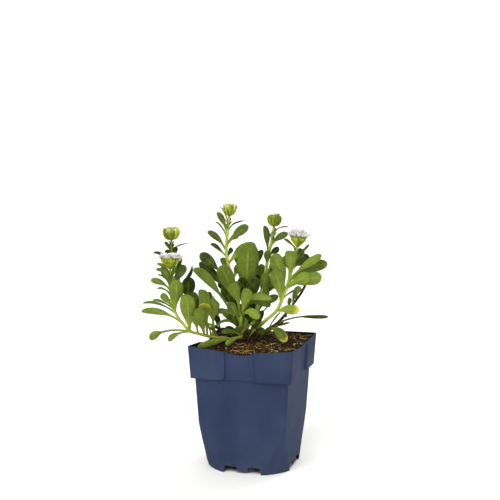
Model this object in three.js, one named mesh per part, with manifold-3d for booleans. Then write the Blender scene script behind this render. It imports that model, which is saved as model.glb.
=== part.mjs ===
// A young candytuft in a square nursery pot: eight leafy shoots standing in the soil, five flat flower heads
// on their tops, two of them opening white. Millimetres, +Z up, the origin under the middle of the pot.
import * as THREE from "three";
import { mergeVertices } from "three/addons/utils/BufferGeometryUtils.js";
import Module from "manifold-3d";

const wasm = await Module();
wasm.setup();

// Driving sizes of the pot
const POT_HEIGHT = 107.4;
const RIM_HALF = 45; // half the width across the corner flaps at the rim
const COLLAR_HEIGHT = 27.2;
const COLLAR_TAPER = 1.7; // how much nearer the axis a flap is at its lower edge
const PANEL_RECESS = 2; // the collar's middle panels lie this far behind the flaps
const FLAP_LENGTH = 32; // along the rim, from the corner
const BODY_TOP_HALF = 40.15;
const BODY_LOW_HALF = 36.3;
const BODY_FOOT_HALF = 35.9;
const BAND_HEIGHT = 14.5; // below this crease the faces stand more upright
const CORNER_CONE_FOOT = 39.9; // the cone that rounds the corners off towards the ground
const CORNER_CONE_SLOPE = 0.309;
const COLLAR_LOW = POT_HEIGHT - COLLAR_HEIGHT;
const FLAP_LEAN = 1.4; // how much shorter a flap is at its lower edge
const FLAP_SLANT = 0.4; // half the width of the slant from a flap to a panel
const COLLAR_CORNER = 2.2;
const BODY_CORNER = 1.6;
const CONE_SIDES = 36;
const LEAST_CORNER = 0.3;
const FLAP_CUT = { height: 2.2, length: 2.6 }; // the flaps' lower corners are cut off
const PAST = 1; // how far a cut reaches past what it cuts
const RIM_CUT_DEPTH = 6;
const RIM_CUT_ABOVE = 5;
// The rim's dip along a side, from the pot's corner to the side's middle, in shares of the two sags below.
const RIM_DIPS = [
  { along: RIM_HALF + PAST, flap: 0, panel: 0 },
  { along: 30, flap: 0.45, panel: 0 },
  { along: RIM_HALF - FLAP_LENGTH, flap: 1, panel: 0 },
  { along: 11.5, flap: 0.8, panel: 0.2 },
  { along: 6.5, flap: 0.1, panel: 0.9 },
  { along: 0, flap: 0, panel: 1 },
];
const WALL = 1.2;
const FLOOR_UNDER = 3;
const FLOOR_TOP = 4.2;
const PAD_RADIUS = 14;
const PAD_SIDES = 16;
const SKIRT_GAP = { half: 16, height: 1.8 }; // the skirt's raised stretch between two feet
const DRAIN = { near: 5, far: 15.5, height: 5.6, depth: 7 };
// How far the soft rim sags below its corners, at the ends of the flaps and in the middle of the panel.
const RIM_SAGS = [
  { flap: 3.1, panel: 5.8 }, // front
  { flap: 3.1, panel: 4.6 }, // right
  { flap: 0.2, panel: 0.5 }, // back
  { flap: 2.4, panel: 3.8 }, // left
];

// Driving sizes of the soil
const CLEAR = 0.3; // gap between touching pieces
const SOIL_LEVEL = 103;
const SOIL_SLOPE = 0.065; // upwards to the back of the pot
const SOIL_MOUND = 1.4;
const SOIL_MOUND_SPREAD = 20;
const SOIL_ROUGHNESS = 0.5;
const SOIL_EDGE = { start: 0.75, drop: 1.5 }; // towards every wall but the back one
const SOIL_CELLS = 8;
const CROWN = { across: -9, depth: 10 };

// The plant was measured by sight from here, so its points are given as across and height where the line of
// sight meets the upright plane through the pot's axis, and depth behind that plane.
const EYE = new THREE.Vector3(-3.4, -894.6, 282.2);
const PLANT_TURN = THREE.MathUtils.degToRad(16.2); // from the pot's front to the line of sight

// Driving sizes of the leaves
const EDGE_THICKNESS = 0.66;
const RIB_THICKNESS = 0.86;
const PETIOLE_HALF = 0.85;
const NARROW_PETIOLE = 0.36; // half a narrow leaf's petiole, as a share of the blade's width
const BLADE_FOLD = 0.16; // height of the blade's edges above its rib, as a share of its half width
const BLADE_SHARE = 0.66; // the blade's share of the leaf's length
const WING_SHARE = 0.12; // half the petiole's width at the blade, as a share of the blade's width
const WIDEST = 0.6; // where along the blade it is widest
const ROUND_END = 0.408; // from there to where the round end would close
const BLADE_RISE = 1.2; // the powers that draw the outline below and above the widest place
const BLADE_ROUNDNESS = 2.5;
const WIDE_LEAF = 10.1; // wider blades have a rib and are folded along it
const BLADE_STATIONS = [
  { below: 3.5, stations: [0.5] },
  { below: 6.6, stations: [0.1, 0.5, 0.86] },
  { below: WIDE_LEAF, stations: [0, 0.32, 0.64, 0.9] },
  { below: Infinity, stations: [0, 0.25, 0.5, 0.75, 0.92] },
];

const FAN_SIDES = 6; // an end with more sides than these is closed from its middle
const STEM_SIDES = 6;
const FACET_SIDES = 4; // of a bud or a petal

const UP = new THREE.Vector3(0, 0, 1);
const GOLDEN_ANGLE = Math.PI * (3 - Math.sqrt(5));

const COLOURS = {
  pot: { color: "#3a4460", roughness: 0.55, metalness: 0 },
  soil: { color: "#2b1c12", roughness: 1, metalness: 0 },
  leaf: { color: "#5f7a2a", roughness: 0.6, metalness: 0 },
  bud: { color: "#8d9c3c", roughness: 0.6, metalness: 0 },
  petal: { color: "#efeaf3", roughness: 0.7, metalness: 0 },
};

// Each shoot: its stem as [across, depth, height] points from the foot of its hole upwards, its radius at the
// foot and at the top, and its leaves. A leaf is [place on the stem counted in stem points, tip across,
// tip depth, tip height, width, bow as a share of its length, turn in degrees, blade share if unusual].
// At turn 0 the upper side faces the viewer, at 180 the under side.
const SHOOTS = {
  shoot_low_left: {
    stem: [
      [-16, 7, 89], [-16, 7, 103.5], [-22, 4, 107.6], [-34, -3, 109], [-46, -9, 111.7],
      [-55, -13, 114.5], [-61, -14, 121], [-67, -15, 130], [-70.5, -15, 143], [-71.5, -15, 156],
      [-71.2, -14, 167.5],
    ],
    radius: [1.5, 0.95],
    leaves: [
      [9.6, -82, -22, 172.5, 3, 0.12, 20],
      [9.2, -83.5, -9, 168, 3.6, 0.15, 30],
      [8.9, -82, -23, 163, 2.6, 0.1, 50],
      [8.5, -79, -17, 169.5, 6, 0.06, 10],
      [8.5, -88, -15, 158.3, 5.4, 0.12, 15, 0.7],
      [8.2, -82, -25, 151.8, 2.4, 0.1, 55],
      [8.5, -58, -8, 171, 7.8, 0.05, 0],
      [9.1, -60, -3, 177, 3.2, 0.06, 40],
      [7.1, -65.5, -28, 158.5, 11.8, 0.04, 180, 0.8],
      [5.0, -57.5, -31, 146, 13, 0.03, 180, 0.86],
      [3.5, -44, -17, 152, 10.5, 0.04, 165, 0.7],
      [3.1, -31.5, -25, 144.5, 9.5, 0.16, 150],
      [3.0, -47, -21, 137.5, 7.5, 0.2, 150],
      [3.7, -48.5, -27, 134.5, 9.4, 0.04, 180, 0.85],
      [6.0, -96, -18, 132, 6.2, 0.1, 165],
      [7.0, -95, -9, 139, 4.6, 0.1, 48],
      [7.3, -86, -19, 142, 3, 0.05, 55],
      [7.3, -79.5, -22, 146.5, 6, 0.03, 170],
      [4.9, -90, -16, 109, 8, 0.09, 150, 0.3],
      [4.8, -73.5, -21, 106, 5.8, 0.12, 28, 0.5],
      [3.2, -42, -18, 122, 3.4, 0.1, 60],
      [4.2, -51.5, -20, 128, 6.5, 0.04, 165],
      [2.8, -38, -12, 118, 4, 0.1, 140],
      [7.8, -74.5, -5, 139, 4.5, 0.1, 20],
      [9.0, -66.8, -20, 170.5, 4, 0.04, 30],
      [8.6, -75.7, -21, 165, 4.5, 0.06, 20],
      [8.1, -67.5, -21, 162, 4, 0.05, 150],
    ],
  },
  shoot_high_left: {
    stem: [
      [-16, 17, 89], [-16, 17, 105], [-25, 16, 113.5], [-36, 14, 119.5], [-46, 12, 122.5],
      [-56, 13, 132], [-63, 12, 149], [-67, 10, 167], [-69.6, 8, 184], [-70, 8, 192.5],
    ],
    radius: [1.4, 0.9],
    leaves: [
      [7.8, -75.5, 5, 191, 3.6, 0.03, 20],
      [7.4, -66.5, 5, 187, 5, 0.05, 25],
      [7.3, -75, 3, 184, 5, 0.08, 0],
      [7.9, -56.5, 11, 189, 2.6, 0.18, 65],
      [7.0, -85.5, 13, 183, 3.4, 0.12, 45],
      [5.1, -55.3, 5, 160, 12, 0.05, 0],
      [6.0, -51.5, 17, 170, 6, 0.02, 50],
      [3.6, -37, 18, 148.5, 6.5, 0.08, 10],
      [5.4, -66, 26, 155, 8.5, 0.06, 150],
      [6.2, -63, 24, 172, 7, 0.08, 160],
      [4.4, -52, 27, 147, 9, 0.08, 165],
      [2.6, -34, 26, 131, 7, 0.12, 150],
      [2.4, -33.5, 9, 127, 6, 0.12, 15],
      [4.2, -46, 5, 143, 8, 0.06, 0],
    ],
  },
  shoot_mid_left: {
    stem: [
      [-11.5, 14, 89], [-11.5, 14, 105], [-13, 14, 118], [-15, 12, 136], [-18, 6, 155],
      [-22, 4, 172], [-23.5, 3, 184], [-22.5, 3, 200], [-21, 3, 212.8],
    ],
    radius: [1.6, 1.05],
    leaves: [
      [7.6, -29, 10, 222, 2.3, 0.05, 70],
      [6.9, -30.7, -2, 216, 5.2, 0.05, 10],
      [7.5, -19.5, 8, 212, 2.6, 0.1, 40],
      [6.7, -32.7, 9, 208.5, 3, 0.08, 60],
      [5.9, -39, 0, 200, 5.6, 0.09, 10],
      [5.5, -36.8, 7, 190.2, 4, 0.04, 30],
      [6.9, -8.5, 9, 208.5, 2.4, 0.2, 65],
      [6.2, -5, -4, 204.5, 8, 0.07, 10],
      [6.3, -12.5, 7, 197, 5, 0.12, 20],
      [5.4, -18.3, 9, 186, 4.4, 0.06, 20],
      [4.0, -45.5, 2, 181, 9.6, 0.01, 0, 0.5],
      [2.0, -51.5, -12, 171, 9, 0.05, 160, 0.5],
      [3.4, -46.5, 13, 173.5, 8.5, 0.02, 0],
      [3.0, -28.5, -8, 171.5, 13.5, 0.03, 170, 0.8],
      [3.1, -12, -7, 158, 6.5, 0.08, 160],
      [5.0, 1.5, 10, 187, 13, 0.12, 170, 0.75],
      [4.2, -28, 26, 176, 8, 0.08, 160],
      [3.2, -22, 34, 160, 9, 0.1, 165],
      [2.4, -27.5, 8, 152, 8.5, 0.05, 0],
      [2.2, -19.5, 3, 149, 8, 0.06, 10],
      [1.6, -27, 12, 130, 6, 0.14, 10],
      [1.8, -22, 13, 137, 7, 0.06, 0],
      [1.4, -25, 10, 116.5, 5, 0.14, 15],
      [1.3, -17.5, 7, 127, 5, 0.05, 15],
      [3.2, -30, 22, 158, 9, 0.06, 0],
      [4.1, -11, 22, 172, 7.5, 0.08, 165],
    ],
  },
  shoot_middle: {
    stem: [
      [-9, 22, 89], [-9, 22, 106], [-7.5, 20, 118], [-7, 16, 140], [-7, 12, 158], [-6, 13, 170],
    ],
    radius: [1.6, 1.2],
    leaves: [
      [3.0, -4.7, -3, 190.5, 19.5, 0.01, 180, 0.84],
      [3.9, 7.5, 12, 184, 7.5, 0.06, 20],
      [4.0, -16, 17, 178, 6, 0.08, 20],
      [2.6, 2.5, 2, 159, 11, 0.06, 0],
      [2.7, -10.5, 3, 161, 10, 0.06, 0],
      [4.8, -3, 22, 186, 9, 0.04, 170],
      [3.4, 8, 34, 168, 9, 0.1, 165],
      [2.5, -10, 38, 152, 10, 0.12, 170],
      [2.2, 6, 36, 140, 8, 0.14, 160],
      [2.1, -3, 6, 150, 9.5, 0.05, 0],
      [1.7, -9.5, 12, 134, 8, 0.04, 0],
      [1.5, -2.5, 13, 128, 6.5, 0.06, 10],
      [1.8, 7.5, 19, 148, 8, 0.08, 0],
      [1.3, -12, 34, 130, 7, 0.14, 165],
      [3.1, 13, 22, 166, 9, 0.06, 0],
    ],
  },
  shoot_mid_right: {
    stem: [
      [-4.5, 17, 89], [-4.5, 17, 105], [-1, 16, 118], [4, 12, 138], [9, 6, 160], [12, 5, 179],
      [15, 4, 192], [16.8, 4, 204.2],
    ],
    radius: [1.7, 1.15],
    leaves: [
      [5.0, 9.6, 1, 204.5, 6, 0.02, 15],
      [5.5, 28.3, -2, 198, 6, 0.12, 10],
      [6.4, 29.2, 11, 203.7, 2.4, 0.18, 65],
      [4.9, 21.7, 9, 185.5, 5.4, 0.1, 10],
      [4.5, 12, 0, 183.5, 6.5, 0.04, 0],
      [3.1, 12, -2, 164.5, 8.5, 0.06, 175],
      [2.9, 18.5, 1, 158.5, 9.5, 0.1, 0],
      [3.6, 6, 4, 172, 7, 0.05, 10],
      [4.1, 22, 27, 174, 8.5, 0.1, 160],
      [3.3, 17, 33, 158, 9, 0.12, 165],
      [2.5, 20, 30, 144, 8, 0.14, 160],
      [2.3, 12.5, 5, 152, 9, 0.08, 175],
      [4.0, 24.5, 10, 172, 9.2, 0.06, 0],
      [3.4, 23.5, 12, 157, 9.2, 0.08, 0],
      [1.4, 7.5, 6, 131, 6.5, 0.06, 10],
    ],
  },
  shoot_right: {
    stem: [
      [-6, 6, 89], [-6, 6, 103.5], [-2.5, 3, 110.8], [4, -3, 118], [11, -8, 124.5], [18.5, -9, 131],
      [22.5, -9, 138], [25.5, -9, 146], [28.5, -8, 154], [31, -8, 163], [34, -7, 174], [36.7, -7, 186.5],
    ],
    radius: [1.7, 1.1],
    leaves: [
      [10.8, 25.5, -12, 193.7, 3, 0.06, 40],
      [8.5, 32, -18, 184.7, 10.5, 0.03, 180],
      [9.3, 41.5, -2, 185, 8, 0.06, 0],
      [10.1, 47.2, -4, 188.5, 3.2, 0.05, 50],
      [8.9, 25.5, 0, 179, 7.5, 0.08, 0],
      [8.5, 57.5, -16, 179.7, 7.5, 0.05, 160, 0.7],
      [8.2, 62.5, -9, 172, 10, 0.12, 15],
      [7.9, 48, -24, 160.5, 11.5, 0.06, 170, 0.75],
      [7.6, 57.7, -14, 160.5, 11.5, 0.08, 170],
      [6.2, 36.5, -3, 150.5, 2.6, 0.1, 70],
      [7.0, 15.5, -14, 181, 12.5, 0.08, 180, 0.75],
      [6.1, 17.5, -21, 167.5, 12, 0.08, 180, 0.8],
      [5.1, 38.7, -15, 131.8, 8.6, 0.07, 170, 0.85],
      [2.1, 9, -12, 119.5, 4, 0.1, 120],
      [1.8, 1, -14, 113.5, 5, 0.1, 150],
      [9.4, 44, 1, 177, 9, 0.05, 0],
      [8.6, 46.5, 3, 166, 9, 0.06, 10],
      [2.0, 9, -6, 115, 5.5, 0.12, 20],
    ],
  },
  shoot_woody: {
    stem: [
      [-1, 11, 89], [-1, 11, 103.8], [9.5, 10, 114.3], [19, 8, 120.5], [27, 9, 129], [33, 10, 137],
      [40, 11, 147], [44, 12, 154.5], [46, 13, 163],
    ],
    radius: [1.5, 0.9],
    leaves: [
      [4.4, 30.5, 6, 143, 4.5, 0.06, 30],
      [5.0, 35.5, 8, 149.5, 5, 0.04, 150],
      [2.9, 63, 5, 124.8, 6.6, 0.1, 62, 0.5],
      [3.7, 28, 4, 127.8, 2.4, 0.02, 40],
      [6.8, 50, 6, 171.5, 9, 0.08, 0],
      [7.4, 53, 13, 178, 8, 0.08, 10],
      [7.7, 43, 16, 181, 7, 0.06, 10],
      [6.2, 54, 24, 163, 9, 0.12, 160],
      [2.5, 27.3, -3, 104.8, 8.8, 0.12, 0, 0.92],
      [5.4, 38, 27, 152, 8, 0.12, 160],
    ],
  },
  shoot_front: {
    stem: [
      [-11, 3, 89], [-11, 3, 103.5], [-11.3, 1, 111], [-11.3, -3, 119], [-10.7, -7, 126.5], [-10, -9, 131],
    ],
    radius: [1.6, 1.2],
    leaves: [
      [4.6, -4.5, -19, 151, 9.8, 0.04, 180, 0.75],
      [4.7, 15, -13, 141.5, 7.5, 0.3, 150],
      [4.4, 14, -10, 135.5, 7, 0.34, 20],
      [4.2, 4, -17, 124.5, 8.5, 0.3, 170, 0.8],
      [3.4, -20.5, -20, 155.5, 10.5, 0.1, 180, 0.5],
      [2.2, -31.5, -13, 120.5, 5, 0.22, 60],
      [3.6, -34.5, -2, 131, 5, 0.14, 20],
      [2.0, -13.5, -18, 118.5, 6.5, 0, 180, 0.7],
      [1.7, -24.5, -12, 102, 5, 0.06, 165],
      [1.8, -48.5, -16, 100.8, 6.2, 0.01, 160],
      [2.0, 3, -12, 123.5, 3.6, 0.06, 170, 0.4],
      [1.9, -27.5, -9, 113.5, 4.5, 0.12, 30],
      [3.0, -22.5, -13, 140, 6.5, 0.06, 170],
      [1.6, -15.5, -7, 128, 4.6, 0.04, 10],
      [1.5, -5.5, -8, 126, 5, 0.05, 165],
    ],
  },
};

// The heads stand on the tops of their shoots. An open head carries white petals on its green cup, and its crown
// is their width and height.
const HEADS = {
  head_low_left: { shoot: "shoot_low_left", form: "open", width: 18, height: 8.8, crown: [22.4, 3.8] },
  head_high_left: { shoot: "shoot_high_left", form: "dome", width: 15.2, height: 10.6 },
  head_mid_left: { shoot: "shoot_mid_left", form: "bowl", width: 13.2, height: 10 },
  head_mid_right: { shoot: "shoot_mid_right", form: "dome", width: 12.6, height: 9.6 },
  head_right: { shoot: "shoot_right", form: "open", width: 15.4, height: 8.4, crown: [19.2, 5.4] },
};
// Each form's outline from the foot up, as radii in shares of the width at shares of the height, and its rings of
// buds or sepals, whose tips stand at such a share of the width and height.
const HEAD_FORMS = {
  dome: {
    outline: [[0.08, 0], [0.26, 0.06], [0.42, 0.28], [0.49, 0.58], [0.45, 0.84], [0.28, 0.95]],
    buds: [{ count: 7, place: 0.3, top: 1, lean: 0.4 }, { count: 2, place: 0.1, top: 1.02, lean: 0.1 }],
  },
  bowl: {
    outline: [[0.08, 0], [0.25, 0.12], [0.39, 0.4], [0.47, 0.72], [0.45, 0.92]],
    buds: [{ count: 7, place: 0.36, top: 1, lean: 0.3 }, { count: 3, place: 0.14, top: 1, lean: 0.1 }],
  },
  open: {
    outline: [[0.08, 0], [0.28, 0.4], [0.42, 0.74], [0.47, 1]],
    buds: [{ count: 9, place: 0.48, top: 1, lean: 0.5 }],
  },
};
const HEAD_SEAT_GAP = 1.3 * CLEAR; // above the stem's top
const BUD = { length: 3.6, belly: 0.4, foot: 0.62, half: 1.25, tip: 0.56 }; // belly in shares of its length
const CUP_SIDES = 16;
const CUP_GROOVE = 0.91; // the radius between two ribs, as a share of the ribs'
const PETAL = { footHalf: 0.87, endHalf: 1.8, thickHalf: 0.42, sunk: 0.6 };
const PETAL_RINGS = [
  { count: 12, foot: 0.36, reach: 1, rise: 0.7 },
  { count: 8, foot: 0.24, reach: 0.66, rise: 0.95 },
]; // foot in shares of the cup's width, reach and rise in shares of the crown's half width and height
const PETAL_DISC = { radius: 0.41, height: 1.5 };

// Solids and meshes

// A closed solid through rings of equally many points, each ring turning anticlockwise about the way forward.
// A blade's two faces are split into triangles alike.
function loft(rings, isBlade = false) {
  const count = rings[0].length;
  const points = rings.flat();
  const faces = [];
  for (let i = 0; i + 1 < rings.length; i++) {
    for (let j = 0; j < count; j++) {
      const near = [i * count + j, i * count + ((j + 1) % count)];
      const far = near.map((index) => index + count);
      const isUnderSide = isBlade && j >= count / 2 && j < count - 1;
      if (isUnderSide) faces.push(near[0], near[1], far[0], near[1], far[1], far[0]);
      else faces.push(near[0], near[1], far[1], near[0], far[1], far[0]);
    }
  }
  const last = (rings.length - 1) * count;
  if (count > FAN_SIDES) {
    points.push(middleOf(rings[0]), middleOf(rings[rings.length - 1]));
    for (let j = 0; j < count; j++) {
      const next = (j + 1) % count;
      faces.push(points.length - 2, next, j, points.length - 1, last + j, last + next);
    }
  } else {
    for (let j = 1; j + 1 < count; j++) faces.push(0, j + 1, j, last, last + j, last + j + 1);
  }
  const geometry = new THREE.BufferGeometry().setFromPoints(points);
  geometry.setIndex(faces);
  return solidFrom(geometry);
}

function middleOf(ring) {
  return ring.reduce((sum, point) => sum.add(point), new THREE.Vector3()).divideScalar(ring.length);
}

function solidFrom(geometry) {
  geometry.deleteAttribute("normal");
  geometry.deleteAttribute("uv");
  const merged = mergeVertices(geometry, 1e-4);
  const mesh = new wasm.Mesh({
    numProp: 3,
    vertProperties: merged.attributes.position.array,
    triVerts: new Uint32Array(merged.index.array),
  });
  return new wasm.Manifold(mesh);
}

function meshFrom(solid, name, colour) {
  const { vertProperties, triVerts } = solid.getMesh();
  const geometry = new THREE.BufferGeometry();
  geometry.setAttribute("position", new THREE.BufferAttribute(vertProperties, 3));
  geometry.setIndex(new THREE.BufferAttribute(triVerts, 1));
  geometry.computeVertexNormals();
  const mesh = new THREE.Mesh(geometry, new THREE.MeshStandardMaterial({ ...colour, flatShading: true }));
  mesh.name = name;
  return mesh;
}

function joined(solids) {
  return solids.reduce((whole, solid) => whole.add(solid));
}

function box(width, depth, height, middle) {
  return solidFrom(new THREE.BoxGeometry(width, depth, height).translate(0, 0, middle));
}

function upright(radius, low, high, sides) {
  const geometry = new THREE.CylinderGeometry(radius, radius, high - low, sides);
  return geometry.rotateX(Math.PI / 2).translate(0, 0, (high + low) / 2);
}

// The pot

// A point on one of the pot's sides: along it from its middle, and out from the pot's axis.
function onSide(side, along, out, z) {
  return new THREE.Vector3(along, -out, z).applyAxisAngle(UP, (side * Math.PI) / 2);
}

// A square ring with rounded corners. With flaps, the middle of each side lies behind its ends.
function squareRing(half, corner, z, flapStart = 0) {
  const ring = [];
  const inner = half - corner;
  for (let side = 0; side < 4; side++) {
    if (flapStart) {
      for (const [along, out] of [
        [-flapStart - FLAP_SLANT, half],
        [-flapStart + FLAP_SLANT, half - PANEL_RECESS],
        [flapStart - FLAP_SLANT, half - PANEL_RECESS],
        [flapStart + FLAP_SLANT, half],
      ]) ring.push(onSide(side, along, out, z));
    }
    for (const angle of [0, Math.PI / 4, Math.PI / 2]) {
      ring.push(onSide(side, inner + corner * Math.sin(angle), inner + corner * Math.cos(angle), z));
    }
  }
  return ring;
}

function bodyHalf(z) {
  if (z < BAND_HEIGHT) return BODY_FOOT_HALF + ((BODY_LOW_HALF - BODY_FOOT_HALF) * z) / BAND_HEIGHT;
  const share = (z - BAND_HEIGHT) / (COLLAR_LOW - BAND_HEIGHT);
  return BODY_LOW_HALF + (BODY_TOP_HALF - BODY_LOW_HALF) * share;
}

// The tapering square body, set in from the outside, its lower corners rounded off by the cone.
function bodySolid(inset, low, high) {
  const heights = [low, BAND_HEIGHT, high].filter((z) => z >= low);
  const corner = Math.max(BODY_CORNER - inset, LEAST_CORNER);
  const square = loft(heights.map((z) => squareRing(bodyHalf(z) - inset, corner, z)));
  const coneRadius = (z) => CORNER_CONE_FOOT + CORNER_CONE_SLOPE * z - inset * Math.hypot(1, CORNER_CONE_SLOPE);
  const cone = new THREE.CylinderGeometry(coneRadius(high), coneRadius(low), high - low, CONE_SIDES);
  cone.rotateX(Math.PI / 2).translate(0, 0, (high + low) / 2);
  return square.intersect(solidFrom(cone));
}

// The collar of corner flaps and middle panels, set in from the outside.
function collarSolid(inset, low, high) {
  const heights = [low, low + FLAP_CUT.height, high];
  const rings = heights.map((z, i) => {
    const share = Math.min((z - COLLAR_LOW) / COLLAR_HEIGHT, 1);
    const half = RIM_HALF - COLLAR_TAPER * (1 - share);
    const cut = i === 0 ? FLAP_CUT.length : 0;
    const flapStart = half - FLAP_LENGTH + FLAP_LEAN * (1 - share) + cut + inset;
    return squareRing(half - inset, COLLAR_CORNER - inset, z, flapStart);
  });
  return loft(rings);
}

// What is cut off above the rim on one side.
function rimCut(side, { flap, panel }) {
  const half = RIM_DIPS.map((dip) => {
    return new THREE.Vector2(dip.along, POT_HEIGHT - dip.flap * flap - dip.panel * panel);
  });
  const end = half[0].x;
  const other = half.slice(0, -1).map((point) => new THREE.Vector2(-point.x, point.y));
  const above = [-end, end].map((along) => new THREE.Vector2(along, POT_HEIGHT + RIM_CUT_ABOVE));
  const outline = new THREE.Shape([...half, ...other.reverse(), ...above]);
  const bar = new THREE.ExtrudeGeometry(outline, { depth: RIM_CUT_DEPTH, bevelEnabled: false });
  bar.rotateX(Math.PI / 2).translate(0, RIM_CUT_DEPTH - end, 0).rotateZ((side * Math.PI) / 2);
  return solidFrom(bar);
}

function drainSolid(side, sign) {
  const width = DRAIN.far - DRAIN.near;
  const bar = new THREE.BoxGeometry(width, DRAIN.depth + 2 * PAST, DRAIN.height + PAST);
  const middle = (sign * (DRAIN.far + DRAIN.near)) / 2;
  bar.translate(middle, -(BODY_LOW_HALF + PAST - DRAIN.depth / 2), (DRAIN.height - PAST) / 2);
  return solidFrom(bar.rotateZ((side * Math.PI) / 2));
}

function potSolid() {
  const outside = bodySolid(0, 0, COLLAR_LOW + WALL / 2).add(collarSolid(0, COLLAR_LOW, POT_HEIGHT));
  const inside = bodySolid(WALL, FLOOR_TOP, COLLAR_LOW + 2 * WALL).add(
    collarSolid(WALL, COLLAR_LOW + WALL, POT_HEIGHT + PAST),
  );
  const underside = bodySolid(WALL, -PAST, FLOOR_UNDER);
  let pot = outside.subtract(inside).subtract(underside);
  const gapLength = 2 * BODY_TOP_HALF;
  for (const [width, depth] of [[2 * SKIRT_GAP.half, gapLength], [gapLength, 2 * SKIRT_GAP.half]]) {
    pot = pot.subtract(box(width, depth, SKIRT_GAP.height + PAST, (SKIRT_GAP.height - PAST) / 2));
  }
  for (let side = 0; side < 4; side++) {
    for (const sign of [-1, 1]) pot = pot.subtract(drainSolid(side, sign));
  }
  RIM_SAGS.forEach((sag, side) => {
    pot = pot.subtract(rimCut(side, sag));
  });
  return pot.add(solidFrom(upright(PAD_RADIUS, 0, FLOOR_UNDER + WALL / 2, PAD_SIDES)));
}

// The soil

function soilHeight(x, y) {
  const across = x * Math.cos(PLANT_TURN) + y * Math.sin(PLANT_TURN);
  const depth = y * Math.cos(PLANT_TURN) - x * Math.sin(PLANT_TURN);
  const away = (across - CROWN.across) ** 2 + (depth - CROWN.depth) ** 2;
  const mound = SOIL_MOUND * Math.exp(-away / (2 * SOIL_MOUND_SPREAD ** 2));
  const clods = Math.sin(0.41 * x + 1.3) * Math.cos(0.37 * y) + 0.6 * Math.sin(0.83 * x - 0.71 * y + 0.6);
  const near = Math.max(Math.max(Math.abs(x), -y) / RIM_HALF - SOIL_EDGE.start, 0) / (1 - SOIL_EDGE.start);
  return SOIL_LEVEL + SOIL_SLOPE * y + mound + SOIL_ROUGHNESS * clods - SOIL_EDGE.drop * near ** 2;
}

// A square block with the soil's relief on its top.
function reliefSolid() {
  const block = new THREE.BoxGeometry(2 * RIM_HALF, 2 * RIM_HALF, SOIL_LEVEL, SOIL_CELLS, SOIL_CELLS, 1);
  block.translate(0, 0, SOIL_LEVEL / 2);
  const place = block.attributes.position;
  for (let i = 0; i < place.count; i++) {
    if (place.getZ(i) > SOIL_LEVEL / 2) place.setZ(i, soilHeight(place.getX(i), place.getY(i)));
  }
  return solidFrom(block);
}

function soilSolid() {
  const inset = WALL + CLEAR;
  const filling = bodySolid(inset, FLOOR_TOP + CLEAR, COLLAR_LOW + 3 * WALL).add(
    collarSolid(inset, COLLAR_LOW + WALL + CLEAR, POT_HEIGHT),
  );
  let soil = filling.intersect(reliefSolid());
  for (const shoot of Object.values(SHOOTS)) {
    const rings = stemRings(shoot, CLEAR);
    for (const point of rings[0]) point.z -= CLEAR;
    for (const point of rings.flat()) point.applyAxisAngle(UP, PLANT_TURN);
    soil = soil.subtract(loft(rings));
  }
  return soil;
}

// The shoots

// A point of the plant from what was sighted: across and height on the upright plane through the pot's axis.
function sighted(across, depth, height) {
  const share = (depth - EYE.y) / -EYE.y;
  return new THREE.Vector3(EYE.x + share * (across - EYE.x), depth, EYE.z + share * (height - EYE.z));
}

function stemCurve(shoot) {
  return new THREE.CatmullRomCurve3(shoot.stem.map((point) => sighted(...point)));
}

function stemRings(shoot, extra = 0) {
  const curve = stemCurve(shoot);
  const steps = curve.points.length;
  const { normals, binormals } = curve.computeFrenetFrames(steps, false);
  const [footRadius, topRadius] = shoot.radius;
  return normals.map((normal, i) => {
    const middle = curve.getPointAt(i / steps);
    const radius = footRadius + ((topRadius - footRadius) * i) / steps + extra;
    return Array.from({ length: STEM_SIDES }, (_, side) => {
      const angle = (2 * Math.PI * side) / STEM_SIDES;
      return middle
        .clone()
        .addScaledVector(normal, radius * Math.cos(angle))
        .addScaledVector(binormals[i], radius * Math.sin(angle));
    });
  });
}

// Half the blade's width at a share of its length, from where the petiole widens to the round end.
function bladeHalf(share, petioleHalf, width) {
  const rise = Math.sin(((Math.PI / 2) * Math.min(share, WIDEST)) / WIDEST) ** BLADE_RISE;
  const fall = Math.sqrt(1 - (Math.max(share - WIDEST, 0) / ROUND_END) ** BLADE_ROUNDNESS);
  return (petioleHalf + (width / 2 - petioleHalf) * rise) * fall;
}

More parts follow.
